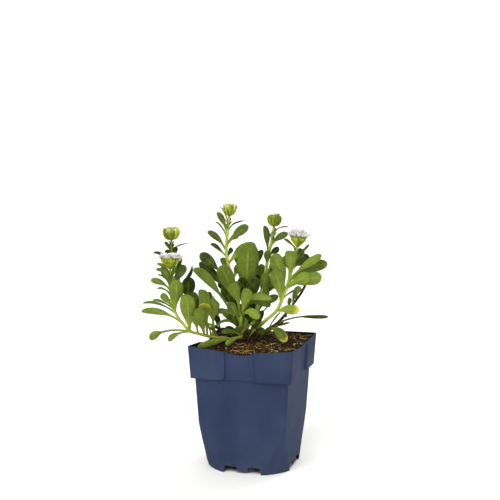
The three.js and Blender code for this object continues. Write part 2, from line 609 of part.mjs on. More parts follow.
function leafSolid(stem, [place, across, depth, height, width, bow, turn, share = BLADE_SHARE]) {
  const root = stem.getPoint(place / (stem.points.length - 1));
  const tip = sighted(across, depth, height);
  const length = root.distanceTo(tip);
  const way = tip.clone().sub(root).normalize();
  const rise = UP.clone().addScaledVector(way, -way.z).normalize();
  const knee = root.clone().lerp(tip, 0.5).addScaledVector(rise, 2 * bow * length);
  const spine = new THREE.QuadraticBezierCurve3(root, knee, tip);
  const toViewer = EYE.clone().sub(tip).normalize();
  const petioleHalf = Math.min(PETIOLE_HALF, NARROW_PETIOLE * width);
  const wingHalf = Math.max(petioleHalf, WING_SHARE * width);
  const { stations } = BLADE_STATIONS.find((kind) => width < kind.below);
  const places = [0, ...stations.map((at) => 1 - share + share * at), 1];
  const rings = places.map((at, i) => {
    const isEnd = i === 0 || i === places.length - 1;
    const forward = spine.getTangent(at);
    const face = toViewer.clone().addScaledVector(forward, -toViewer.dot(forward)).normalize();
    face.applyAxisAngle(forward, THREE.MathUtils.degToRad(turn));
    const side = forward.clone().cross(face);
    const neckHalf = petioleHalf + (wingHalf - petioleHalf) * Math.min(at / (1 - share), 1);
    const half = bladeHalf(Math.max((at - 1 + share) / share, 0), neckHalf, width);
    const edge = isEnd || width < WIDE_LEAF ? 0 : BLADE_FOLD * Math.max(half - petioleHalf, 0);
    const thick = EDGE_THICKNESS / 2;
    const rib = width < WIDE_LEAF ? [] : [0];
    const section = [
      [-half, edge + thick], ...rib.map((out) => [out, RIB_THICKNESS / 2]), [half, edge + thick],
      [half, edge - thick], ...rib.map((out) => [out, -RIB_THICKNESS / 2]), [-half, edge - thick],
    ];
    const middle = spine.getPoint(at);
    return section.map(([out, up]) => middle.clone().addScaledVector(side, out).addScaledVector(face, up));
  });
  return loft(rings, true);
}

function shootSolid(shoot) {
  const stem = stemCurve(shoot);
  return joined([loft(stemRings(shoot)), ...shoot.leaves.map((leaf) => leafSolid(stem, leaf))]);
}

// The heads, upright with their foot at the origin

// The green part's ribbed body, without its buds.
function cupSolid(head) {
  const rings = HEAD_FORMS[head.form].outline.map(([radius, height]) => {
    return Array.from({ length: CUP_SIDES }, (_, side) => {
      const angle = (2 * Math.PI * side) / CUP_SIDES;
      const out = head.width * radius * (side % 2 ? 1 : CUP_GROOVE);
      return new THREE.Vector3(out * Math.cos(angle), out * Math.sin(angle), head.height * height);
    });
  });
  return loft(rings);
}

// A slim body of rings along a straight way, each ring with its own half width and half thickness.
function slimSolid(middle, forward, across, sizes, sides) {
  const up = forward.clone().cross(across);
  const rings = sizes.map(([along, half, thick]) => {
    return Array.from({ length: sides }, (_, side) => {
      const angle = (2 * Math.PI * (side + 0.5)) / sides;
      return middle
        .clone()
        .addScaledVector(forward, along)
        .addScaledVector(across, half * Math.cos(angle))
        .addScaledVector(up, thick * Math.sin(angle));
    });
  });
  return loft(rings);
}

function budSolid(head, { count, place, top, lean }, index) {
  const angle = (2 * Math.PI * (index + 0.5)) / count;
  const out = new THREE.Vector3(Math.cos(angle), Math.sin(angle), 0);
  const across = new THREE.Vector3(-Math.sin(angle), Math.cos(angle), 0);
  const forward = out.clone().multiplyScalar(lean).add(UP).normalize();
  const tip = out.multiplyScalar(place * head.width).setZ(top * head.height);
  const sizes = [
    [-BUD.length, BUD.foot, BUD.foot],
    [-BUD.belly * BUD.length, BUD.half, BUD.half],
    [0, BUD.tip, BUD.tip],
  ];
  return slimSolid(tip, forward, across, sizes, FACET_SIDES);
}

function headSolid(head) {
  const buds = HEAD_FORMS[head.form].buds.flatMap((ring) => {
    return Array.from({ length: ring.count }, (_, index) => budSolid(head, ring, index));
  });
  return joined([cupSolid(head), ...buds]);
}

// The white part of an open head: a disc on the cup, and rings of petals that stand up and out of it.
function petalsSolid(head) {
  const low = head.height + CLEAR;
  const [crownWidth, crownHeight] = head.crown;
  const petals = PETAL_RINGS.flatMap(({ count, foot, reach, rise }) => {
    return Array.from({ length: count }, (_, petal) => {
      const angle = (2 * Math.PI * (petal + foot)) / count;
      const out = new THREE.Vector3(Math.cos(angle), Math.sin(angle), 0);
      const across = new THREE.Vector3(-Math.sin(angle), Math.cos(angle), 0);
      const start = out.clone().multiplyScalar(foot * head.width).setZ(low + PETAL.sunk);
      const end = out.clone().multiplyScalar((reach * crownWidth) / 2).setZ(low + rise * crownHeight);
      const forward = end.clone().sub(start).normalize();
      const sizes = [
        [-PETAL.sunk, PETAL.footHalf, PETAL.thickHalf],
        [start.distanceTo(end), PETAL.endHalf, PETAL.thickHalf],
      ];
      return slimSolid(start, forward, across, sizes, FACET_SIDES);
    });
  });
  const disc = upright(PETAL_DISC.radius * head.width, low, low + PETAL_DISC.height, CUP_SIDES);
  return joined([solidFrom(disc), ...petals]);
}

// The whole

const plant = new THREE.Group();
plant.rotation.z = PLANT_TURN;
for (const [name, shoot] of Object.entries(SHOOTS)) {
  plant.add(meshFrom(shootSolid(shoot), name, COLOURS.leaf));
}
for (const [name, head] of Object.entries(HEADS)) {
  const stem = stemCurve(SHOOTS[head.shoot]);
  const forward = stem.getTangent(1);
  const seat = new THREE.Group();
  seat.position.copy(stem.getPoint(1)).addScaledVector(forward, HEAD_SEAT_GAP);
  seat.quaternion.setFromUnitVectors(UP, forward.clone().add(UP).normalize());
  seat.add(meshFrom(headSolid(head), name, COLOURS.bud));
  if (head.crown) seat.add(meshFrom(petalsSolid(head), name.replace("head", "petals"), COLOURS.petal));
  plant.add(seat);
}

const pottedPlant = new THREE.Group();
pottedPlant.add(meshFrom(potSolid(), "pot", COLOURS.pot), meshFrom(soilSolid(), "soil", COLOURS.soil), plant);

export default pottedPlant;
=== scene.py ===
"""A young candytuft in a square nursery pot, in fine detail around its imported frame.

The solids give every place and size. The pieces here stand for them: a pot with softened edges, soil with
its fibres, shoots with ribbed leaves, and heads of buds and white petals. Sizes are in millimetres until a
piece is made, and metres from then on.
"""

from __future__ import annotations

import logging
import math
import random
from collections.abc import Callable, Iterator, Sequence
from dataclasses import dataclass, field
from enum import Enum
from typing import Any

import bmesh
import bpy
from mathutils import Matrix, Vector, noise


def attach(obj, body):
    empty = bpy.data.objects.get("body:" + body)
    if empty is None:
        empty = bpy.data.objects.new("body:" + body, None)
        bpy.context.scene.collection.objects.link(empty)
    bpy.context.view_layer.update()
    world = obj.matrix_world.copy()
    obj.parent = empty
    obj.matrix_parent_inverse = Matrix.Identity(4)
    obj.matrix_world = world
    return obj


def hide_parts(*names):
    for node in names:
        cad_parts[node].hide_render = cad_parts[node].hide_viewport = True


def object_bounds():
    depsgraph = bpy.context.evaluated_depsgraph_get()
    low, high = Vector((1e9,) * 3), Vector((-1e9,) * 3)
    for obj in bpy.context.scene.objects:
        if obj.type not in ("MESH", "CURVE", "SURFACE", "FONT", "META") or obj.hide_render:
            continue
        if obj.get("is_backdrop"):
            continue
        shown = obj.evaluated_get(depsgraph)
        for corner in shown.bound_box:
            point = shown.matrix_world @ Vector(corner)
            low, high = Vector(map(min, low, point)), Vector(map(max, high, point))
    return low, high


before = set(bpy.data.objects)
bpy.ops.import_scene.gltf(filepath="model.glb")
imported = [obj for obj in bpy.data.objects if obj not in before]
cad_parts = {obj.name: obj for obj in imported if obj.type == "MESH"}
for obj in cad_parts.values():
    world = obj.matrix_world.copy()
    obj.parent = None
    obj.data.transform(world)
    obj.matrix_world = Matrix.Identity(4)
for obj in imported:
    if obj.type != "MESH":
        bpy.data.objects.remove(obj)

CAD_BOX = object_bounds()
LOG = logging.getLogger("candytuft")

Material = bpy.types.Material
Triple = tuple[float, float, float]

MM = 0.001
UP = Vector((0, 0, 1))
AXES = (Vector((1, 0, 0)), Vector((0, 1, 0)))
FULL_TURN = 2 * math.pi
GOLDEN_ANGLE = math.pi * (3 - math.sqrt(5))

# The plant was measured from here, as in the solids: a point is given as across and height where the line of
# sight meets the upright plane through the pot's axis, and depth behind that plane.
EYE = Vector((-3.4, -894.6, 282.2))
PLANT_TURN = math.radians(16.2)

# The soil, as in the solids
RIM_HALF = 45.0
SOIL_LEVEL = 103.0
SOIL_SLOPE = 0.065
SOIL_MOUND = 1.4
SOIL_MOUND_SPREAD = 20.0
SOIL_ROUGHNESS = 0.5
SOIL_EDGE_START = 0.75
SOIL_EDGE_DROP = 1.5
CROWN = (-9.0, 10.0)


def linear(code: str) -> tuple[float, ...]:
    """Turn a colour code of six hexadecimal digits into the shader's own scale, with an alpha of 1."""
    parts = [int(code[i : i + 2], 16) / 255 for i in (0, 2, 4)]
    return (*(part / 12.92 if part <= 0.04045 else ((part + 0.055) / 1.055) ** 2.4 for part in parts), 1.0)


def sighted(across: float, depth: float, height: float) -> Vector:
    """Find a sighted point of the plant, in the viewer's frame, which is not yet turned to the pot's."""
    share = (depth - EYE.y) / -EYE.y
    return Vector((EYE.x + share * (across - EYE.x), depth, EYE.z + share * (height - EYE.z)))


def smooth(low: float, high: float, value: float) -> float:
    """Rise gently from 0 where the value is low to 1 where it is high."""
    share = min(max((value - low) / (high - low), 0.0), 1.0)
    return share * share * (3 - 2 * share)


def square(vector: Vector, way: Vector) -> Vector:
    """Turn a direction until it stands square to a way."""
    return (vector - way * vector.dot(way)).normalized()


def curve(start: Vector, knee: Vector, end: Vector, share: float) -> Vector:
    """Find the point at a share of the curve that leaves start, is drawn towards the knee and reaches end."""
    return start * (1 - share) ** 2 + knee * (2 * share * (1 - share)) + end * share**2


def spoke(pair: Sequence[Vector], angle: float, radius: float = 1.0) -> Vector:
    """Point outwards at an angle from the first to the second of two square directions."""
    return pair[0] * (radius * math.cos(angle)) + pair[1] * (radius * math.sin(angle))


def frames(path: Sequence[Vector]) -> list[tuple[Vector, Vector]]:
    """Carry a pair of directions along a path without turning them about it.

    Args:
        path: the path's points.

    Returns:
        At each point, two directions square to the path and to each other.
    """
    last = len(path) - 1
    ways = [(path[min(i + 1, last)] - path[max(i - 1, 0)]).normalized() for i in range(last + 1)]
    side = ways[0].orthogonal()
    pairs = []
    for way in ways:
        side = square(side, way)
        pairs.append((side, way.cross(side)))
    return pairs


def soil_height(x: float, y: float) -> float:
    """Find the broad height of the soil, as the solids have it.

    Args:
        x: place across the pot.
        y: place from the pot's front to its back.

    Returns:
        The height above the pot's base.
    """
    across = x * math.cos(PLANT_TURN) + y * math.sin(PLANT_TURN)
    depth = y * math.cos(PLANT_TURN) - x * math.sin(PLANT_TURN)
    away = (across - CROWN[0]) ** 2 + (depth - CROWN[1]) ** 2
    mound = SOIL_MOUND * math.exp(-away / (2 * SOIL_MOUND_SPREAD**2))
    clods = math.sin(0.41 * x + 1.3) * math.cos(0.37 * y) + 0.6 * math.sin(0.83 * x - 0.71 * y + 0.6)
    near = max(max(abs(x), -y) / RIM_HALF - SOIL_EDGE_START, 0.0) / (1 - SOIL_EDGE_START)
    return SOIL_LEVEL + SOIL_SLOPE * y + mound + SOIL_ROUGHNESS * clods - SOIL_EDGE_DROP * near**2


# Making pieces


def placed(name: str, data: Any) -> bpy.types.Object:
    """Put an object in the scene.

    Args:
        name: its name.
        data: its mesh, lamp or camera.

    Returns:
        The object.
    """
    thing = bpy.data.objects.new(name, data)
    bpy.context.scene.collection.objects.link(thing)
    return thing


def settle(piece: bpy.types.Object, node: str) -> None:
    """Let a piece ride on the part and stand for its solid.

    Args:
        piece: the piece.
        node: the solid it stands for.
    """
    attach(piece, "root")
    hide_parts(node)
    LOG.info("%s stands for %s with %d faces", piece.name, node, len(piece.data.polygons))


@dataclass
class Draft:
    """Gathers one piece's points and faces, with the marks that its finishes read, and draws its chances."""

    chance: random.Random
    turn: float = PLANT_TURN
    points: list[Vector] = field(default_factory=list)
    faces: list[tuple[int, ...]] = field(default_factory=list)
    slots: list[int] = field(default_factory=list)
    marks: dict[str, list[float]] = field(default_factory=dict)

    def draw(self, low: float, high: float) -> float:
        """Draw a random number from low to high."""
        return self.chance.uniform(low, high)

    def angles(self, count: int, jitter: float, start: float = 0.0) -> Iterator[float]:
        """Spread angles round a circle, and move each a little by chance just before it is used.

        Args:
            count: how many there are.
            jitter: how far one is moved at most, as a share of the space between two.
            start: where the first stands, in such shares.

        Yields:
            Each angle.
        """
        for index in range(count):
            yield FULL_TURN * (index + start + self.draw(-jitter, jitter)) / count

    def add(self, rings: Sequence[Sequence[Vector]], slot: int = 0, **marks: Any) -> None:
        """Skin a row of rings, and close its ends.

        Args:
            rings: rings of equally many points, each turning anticlockwise about the way forward.
            slot: the finish of its faces.
            marks: one number, or a list of one for each ring or for each point.
        """
        start, count = len(self.points), len(rings[0])
        total = len(rings) * count
        for name in marks:
            self.marks.setdefault(name, [0.0] * start)
        for name, values in self.marks.items():
            given = marks.get(name, 0.0)
            given = given if isinstance(given, list) else [float(given)]
            values.extend(value for value in given for _ in range(total // len(given)))
        self.points.extend(point for ring in rings for point in ring)
        for low in range(start, start + total - count, count):
            for j in range(count):
                near, along = low + j, low + (j + 1) % count
                self.faces.append((near, along, along + count, near + count))
        self.faces.append(tuple(reversed(range(start, start + count))))
        self.faces.append(tuple(range(start + total - count, start + total)))
        self.slots.extend([slot] * (len(self.faces) - len(self.slots)))

    def tube(
        self, path: Sequence[Vector], radii: Sequence[float], sides: int, slot: int = 0, **marks: Any
    ) -> None:
        """Lay a round tube along a path.

        Args:
            path: the points of its middle line.
            radii: its radius at each of them.
            sides: how many sides it has.
            slot: the finish of its faces.
            marks: numbers for its points, as for add.
        """
        angles = [FULL_TURN * j / sides for j in range(sides)]
        rings = []
        for pair, middle, radius in zip(frames(path), path, radii):
            rings.append([middle + spoke(pair, angle, radius) for angle in angles])
        self.add(rings, slot, **marks)

    def move(self, seat: Matrix) -> None:
        """Move what was gathered to its seat."""
        self.points = [seat @ point for point in self.points]

    def piece(self, name: str, *finishes: Material) -> bpy.types.Object:
        """Make the piece from what was gathered.

        Args:
            name: the piece's name.
            finishes: its materials, in the order of the slots.

        Returns:
            The object, in metres and in the pot's frame.
        """
        turned = Matrix.Scale(MM, 4) @ Matrix.Rotation(self.turn, 4, "Z")
        mesh = bpy.data.meshes.new(name)
        mesh.from_pydata([turned @ point for point in self.points], [], self.faces)
        for finish in finishes:
            mesh.materials.append(finish)
        mesh.polygons.foreach_set("material_index", self.slots)
        for mark, values in self.marks.items():
            mesh.attributes.new(mark, "FLOAT", "POINT").data.foreach_set("value", values)
        mesh.shade_smooth()
        mesh.update()
        return placed(name, mesh)


class StemLine:
    """The smooth line through a row of points, the same as in the solids."""

    def __init__(self, points: Sequence[Vector]) -> None:
        """Keep the points, with one more before the first and after the last."""
        self.points = [points[0] * 2 - points[1], *points, points[-1] * 2 - points[-2]]
        self.stretches = len(points) - 1

    def at(self, place: float) -> Vector:
        """Find a point of the line.

        Args:
            place: how far along, counted in its points.

        Returns:
            The point.
        """
        index = min(int(place), self.stretches - 1)
        weight = place - index
        before, start, end, after = self.points[index : index + 4]
        gaps = [math.sqrt((b - a).length) for a, b in ((before, start), (start, end), (end, after))]
        leave = (start - before) / gaps[0] - (end - before) / (gaps[0] + gaps[1]) + (end - start) / gaps[1]
        reach = (end - start) / gaps[1] - (after - start) / (gaps[1] + gaps[2]) + (after - end) / gaps[2]
        leave, reach = leave * gaps[1], reach * gaps[1]
        bend = (end - start) * 3 - leave * 2 - reach
        ease = (start - end) * 2 + leave + reach
        return start + leave * weight + bend * weight**2 + ease * weight**3

    def forward(self, place: float, step: float = 0.01) -> Vector:
        """Find the line's direction at a place, between the points a step before and after it."""
        low, high = max(place - step, 0.0), min(place + step, float(self.stretches))
        return (self.at(high) - self.at(low)).normalized()

    def walk(self, steps: int) -> list[float]:
        """List places all along the line, so many steps to a stretch."""
        return [self.stretches * i / (steps * self.stretches) for i in range(steps * self.stretches + 1)]


# Shader maths


class Value:
    """A socket that expressions can be written with."""

    def __init__(self, recipe: Recipe, socket: bpy.types.NodeSocket) -> None:
        """Wrap one output of a node."""
        self.recipe, self.socket = recipe, socket

    def math(self, operation: str, *others: Any) -> Value:
        """Add a Math node of that operation, with this value first."""
        return self.recipe.maths(operation, self, *others)

    def __add__(self, other: Any) -> Value:
        """Add."""
        return self.math("ADD", other)

    def __sub__(self, other: Any) -> Value:
        """Take away."""
        return self.math("SUBTRACT", other)

    def __rsub__(self, other: Any) -> Value:
        """Take away from a number."""
        return self.recipe.maths("SUBTRACT", other, self)

    def __mul__(self, other: Any) -> Value:
        """Multiply."""
        return self.math("MULTIPLY", other)

    def __abs__(self) -> Value:
        """Drop the sign."""
        return self.math("ABSOLUTE")

    __radd__, __rmul__ = __add__, __mul__

    def clamped(self) -> Value:
        """Keep within 0 and 1."""
        return self.math("MAXIMUM", 0.0).math("MINIMUM", 1.0)

    def step(self, low: float, high: float) -> Value:
        """Rise smoothly from 0 at low to 1 at high."""
        inputs = {"Value": self, "From Min": low, "From Max": high}
        return self.recipe.node("ShaderNodeMapRange", {"interpolation_type": "SMOOTHSTEP"}, inputs)


class Recipe:
    """One material, put together node by node."""

    def __init__(self, name: str) -> None:
        """Start a material with no nodes."""
        self.material = bpy.data.materials.new(name)
        self.material.use_nodes = True
        self.tree = self.material.node_tree
        self.tree.nodes.clear()

    def node(self, kind: str, settings: dict[str, Any], inputs: dict[Any, Any], output: Any = 0) -> Value:
        """Add a node.

        Args:
            kind: the node's type.
            settings: its properties; a ramp takes its stops, as places and colours, under "stops".
            inputs: numbers, colours, vectors or values for its sockets, by name or number.
            output: which of its outputs is wanted.

        Returns:
            That output.
        """
        made = self.tree.nodes.new(kind)
        for place, colour in settings.pop("stops", ()):
            made.color_ramp.elements.new(place).color = colour
        for name, setting in settings.items():
            setattr(made, name, setting)
        for name, given in inputs.items():
            if isinstance(given, Value):
                self.tree.links.new(given.socket, made.inputs[name])
            else:
                made.inputs[name].default_value = given
        return Value(self, made.outputs[output] if made.outputs else None)

    def maths(self, operation: str, *values: Any) -> Value:
        """Add a Math node with these values in order."""
        return self.node("ShaderNodeMath", {"operation": operation}, dict(enumerate(values)))

    def mark(self, name: str) -> Value:
        """Read a number that the mesh carries."""
        return self.node("ShaderNodeAttribute", {"attribute_name": name}, {}, "Fac")

    def place(self) -> Value:
        """Read the point's place on the object, in metres."""
        return self.node("ShaderNodeTexCoord", {}, {}, "Object")

    def noise(self, scale: float, detail: float = 3.0, stretch: Triple = (1, 1, 1)) -> Value:
        """Add a noise from 0 to 1, with so many bumps to the metre, and finer by stretch along each axis."""
        where = self.node("ShaderNodeMapping", {}, {"Vector": self.place(), "Scale": stretch})
        return self.node("ShaderNodeTexNoise", {}, {"Vector": where, "Scale": scale, "Detail": detail}, "Fac")

    def mix(self, share: Any, *colours: Any) -> Value:
        """Mix two colours, each a code or a value, with that share of the second."""
        low, high = (linear(colour) if isinstance(colour, str) else colour for colour in colours)
        settings = {"data_type": "RGBA", "clamp_factor": True}
        return self.node("ShaderNodeMix", settings, {0: share, 6: low, 7: high}, 2)

    def bump(self, height: Value, distance: float, strength: float) -> Value:
        """Turn a relief from 0 to 1 into a normal, where 1 stands that many metres high."""
        inputs = {"Height": height, "Distance": distance, "Strength": strength}
        return self.node("ShaderNodeBump", {}, inputs, "Normal")

    def surface(self, **inputs: Any) -> Material:
        """Finish the material with one Principled shader, from its inputs with underscores for spaces."""
        sockets = {name.replace("_", " "): given for name, given in inputs.items()}
        shader = self.node("ShaderNodeBsdfPrincipled", {}, sockets)
        self.node("ShaderNodeOutputMaterial", {}, {"Surface": shader})
        return self.material


# Finishes


@dataclass(frozen=True)
class LeafSkin:
    """Fleshy leaves: dark above, greyish below, yellow-green towards the stem."""

    dark: str = "28340a"
    fresh: str = "64762a"
    under_dark: str = "48591a"
    under_pale: str = "74852f"
    rib: str = "8f9b4c"
    base: str = "84932a"
    # the margins' own green, which also paints a highlight along the rims of the dark upper sides
    edge: str = "64732a"
    yellow: str = "c9c043"
    orange: str = "b98434"
    veins: float = 30.0
    vein_slant: float = 5.0

    def make(self) -> Material:
        """Make the material from its cloudy greens, darkened further back as a painted shade, its veins, rib,
        edge, foot and autumn colours.
        """
        it = Recipe("leaf_skin")
        along, side, under = it.mark("along"), abs(it.mark("side")), it.mark("under")
        tone, blush = it.mark("tone"), it.mark("blush")
        broad, mottle, fine = it.noise(150.0), it.noise(450.0), it.noise(900.0)
        cloud = broad * 1.1 + mottle * 0.7
        # The tone, partly random and partly a painted shade that darkens leaves further back, moves the greens
        # from dark to fresh.
        upper = it.mix((cloud - 0.6 + tone * 0.45).clamped(), self.dark, self.fresh)
        lower = it.mix((cloud - 0.45 + tone * 0.3).clamped(), self.under_dark, self.under_pale)
        colour = it.mix(under, upper, lower)
        slant = (along * self.veins - side * self.vein_slant).math("SINE")
        vein = slant.step(0.55, 1.0) * side.step(0.04, 0.2) * (1 - side.step(0.5, 0.95))
        colour = it.mix(vein * (0.05 + under * 0.08), colour, self.rib)
        rib = (1 - side.step(0.02, 0.1)) * (1 - along.step(0.7, 1.0)) * (0.3 + under * 0.3)
        colour = it.mix(rib, colour, self.rib)
        # The margin's own colour, mixed in strongly enough that it also paints a highlight along the rims.
        colour = it.mix(side.step(0.82, 1.0) * 0.55, colour, self.edge)
        colour = it.mix((1 - along.step(0.05, 0.5)) * 0.85, colour, self.base)
        turning = blush * (along * 1.3 + side * 0.2 + broad * 0.7 - 1.3).clamped().step(0.05, 0.45)
        autumn = it.mix(fine.step(0.55, 0.8) * 0.8, self.yellow, self.orange)
        height = (1 - rib) * 0.5 + fine * 0.2 + mottle * 0.5 - vein * 0.15
        return it.surface(
            Base_Color=it.mix(turning, colour, autumn),
            Roughness=0.45 + fine * 0.16 + under * 0.14,
            Normal=it.bump(height, 0.0005, 0.8),
            Subsurface_Weight=0.06,
            Subsurface_Radius=(0.4, 1.0, 0.1),
            Subsurface_Scale=0.0012,
            Specular_IOR_Level=0.12,
        )


@dataclass(frozen=True)
class StemSkin:
    """Stems: yellow-green while young, brown and woody at the foot."""

    young: str = "a5b046"
    fresh: str = "808d33"
    bark: str = "4a3327"
    bark_dark: str = "2a1b18"
    streaks_along: Triple = (1.0, 1.0, 0.22)

    def make(self) -> Material:
        """Make the material from its green, its bark and how far one has turned into the other."""
        it = Recipe("stem_skin")
        streak, patch = it.noise(700.0, 4.0, self.streaks_along), it.noise(120.0)
        green = it.mix((streak * 0.7 + patch * 0.6).step(0.4, 0.9), self.fresh, self.young)
        brown = it.mix(streak.step(0.35, 0.65), self.bark_dark, self.bark)
        aged = (it.mark("bark") + (patch - 0.5) * 0.5).step(0.3, 0.7)
        return it.surface(
            Base_Color=it.mix(aged, green, brown),
            Roughness=0.45 + streak * 0.2 + aged * 0.2,
            Normal=it.bump(streak, 0.0004, 0.6),
            Specular_IOR_Level=0.15,
        )


@dataclass(frozen=True)
class BudSkin:
    """Buds and their stalks: green, with a painted shade in the gaps, and cream at the tips that are about to
    open.
    """

    green: str = "5c6a14"
    pale: str = "a2ae30"
    # painted shade for the core that shows between the ribs and buds
    gap: str = "3a460c"
    cream: str = "d0c98e"
    rust: str = "8f6a3c"

    def make(self) -> Material:
        """Make the material from its greens, its cream tips and their rusty specks."""
        it = Recipe("bud_skin")
        along, ripe, tone = it.mark("along"), it.mark("ripe"), it.mark("tone")
        patch, fine = it.noise(400.0), it.noise(1600.0)
        colour = it.mix((patch + tone * 0.3).step(0.2, 0.8), self.green, self.pale)
        # Painted shade: the core between the ribs and buds is darkened.
        colour = it.mix(it.mark("gap"), colour, self.gap)
        tip = (along + ripe * 0.6 + (patch - 0.5) * 0.3 + (fine - 0.5) * 0.3 - 1.1).step(0.0, 0.25)
        colour = it.mix(tip * 0.9, colour, self.cream)
        rust = fine.step(0.55, 0.75) * along.step(0.8, 1.0) * ripe.step(0.0, 0.4) * 0.55
        return it.surface(
            Base_Color=it.mix(rust, colour, self.rust),
            Roughness=0.45 + fine * 0.2,
            Normal=it.bump(fine, 0.0002, 0.5),
            Specular_IOR_Level=0.12,
        )


@dataclass(frozen=True)
class PetalSkin:
    """Thin white petals with a breath of lilac towards the claw."""

    white: str = "f2f0ef"
    shade: str = "d3ced3"
    lilac: str = "b6aab6"
    grains: float = 26.0

    def make(self) -> Material:
        """Make the material from its whites, its lilac foot and a fine grain."""
        it = Recipe("petal_skin")
        grain = (it.mark("side") * self.grains).math("SINE") * 0.5 + 0.5
        patch = it.noise(500.0)
        colour = it.mix((patch + it.mark("tone") * 0.3).step(0.3, 0.8), self.shade, self.white)
        return it.surface(
            Base_Color=it.mix((1 - it.mark("along").step(0.0, 0.6)) * 0.4, colour, self.lilac),
            Roughness=0.55 + patch * 0.15,
            Normal=it.bump(grain, 0.0001, 0.5),
            Subsurface_Weight=0.2,
            Subsurface_Scale=0.001,
        )


@dataclass(frozen=True)
class PottingMix:
    """Dark crumbs of peat and bark."""

    black: str = "0c0804"
    brown: str = "463012"
    warm: str = "7d5722"

    def make(self) -> Material:
        """Make the material from its dark crumbs and warm grit."""
        it = Recipe("potting_mix")
        crumbs, grit = it.noise(260.0, 6.0), it.noise(1400.0, 4.0)
        colour = it.mix(crumbs.step(0.38, 0.66), self.black, self.brown)
        return it.surface(
            Base_Color=it.mix(grit.step(0.55, 0.72) * 0.8, colour, self.warm),
            Roughness=0.8 + grit * 0.2,
            Normal=it.bump(crumbs * 0.6 + grit * 0.5, 0.0012, 1.0),
            Specular_IOR_Level=0.1,
        )


@dataclass(frozen=True)
class FibreSkin:
    """Plant fibres and bark flakes, from nearly black to straw. The ramp's own stops stand at 0 and 1."""

    dark: str = "160e07"
    straw: str = "dcc78e"
    between: tuple[tuple[float, str], ...] = ((0.35, "3a260f"), (0.62, "705022"), (0.84, "ac8a4a"))

    def make(self) -> Material:
        """Make the material from a ramp that each fibre's own tone reads."""
        it = Recipe("fibre_skin")
        grain = it.noise(900.0, 3.0)
        share = (it.mark("tone") + (grain - 0.5) * 0.25).clamped()
        stops = [(place, linear(code)) for place, code in self.between]
        ramp = it.node("ShaderNodeValToRGB", {"stops": stops}, {"Fac": share})
        ends = ramp.socket.node.color_ramp.elements
        ends[0].color, ends[-1].color = linear(self.dark), linear(self.straw)
        return it.surface(
            Base_Color=ramp,
            Roughness=0.75 + grain * 0.2,
            Normal=it.bump(grain, 0.0003, 0.8),
            Specular_IOR_Level=0.15,
        )


@dataclass(frozen=True)
class PotPlastic:
    """Thin moulded plastic, dull dark blue, dusty towards the foot and paler where it has been handled."""

    blue: str = "303b55"
    deep: str = "28314a"
    dust: str = "565a60"
    # a painted shade, near black, on the inner wall
    inner_wall_shade: str = "14110d"
    foot: float = 0.012
    flow_along: Triple = (1.0, 1.0, 0.12)

    def make(self) -> Material:
        """Make the material from its blues, the dust on it and a painted shade on the inner wall."""
        it = Recipe("pot_plastic")
        height = it.node("ShaderNodeSeparateXYZ", {}, {"Vector": it.place()}, "Z")
        cloud, speck, flow = it.noise(22.0, 3.0), it.noise(2600.0, 2.0), it.noise(90.0, 4.0, self.flow_along)
        colour = it.mix((cloud * 0.8 + flow * 0.4).step(0.35, 0.85), self.deep, self.blue)
        near_foot = 1 - height.step(0.0, self.foot)
        dust = (cloud.step(0.45, 0.8) * 0.12 + near_foot * 0.18) * (0.5 + speck * 0.8)
        colour = it.mix(dust, colour, self.dust)
        return it.surface(
            # Painted shade: the inner wall is darkened nearly to black.
            Base_Color=it.mix(it.mark("inside") * (0.75 + flow * 0.3), colour, self.inner_wall_shade),
            Roughness=(0.6 + flow * 0.1 + dust * 0.6).clamped(),
            Normal=it.bump(flow * 0.25 + speck * 0.12 + cloud * 0.35, 0.0006, 0.45),
            Specular_IOR_Level=0.04,
        )


@dataclass(frozen=True)
class FloorPaper:
    """The pale matt sweep that the part stands on."""

    pale: str = "f4f4f4"
    shade: str = "efefef"

    def make(self) -> Material:
        """Make the material from two pale greys."""
        it = Recipe("floor_paper")
        cloud = it.noise(3.0)
        return it.surface(
            Base_Color=it.mix(cloud, self.shade, self.pale),
            Roughness=0.9 + cloud * 0.05,
            Specular_IOR_Level=0.2,
        )


# The shoots


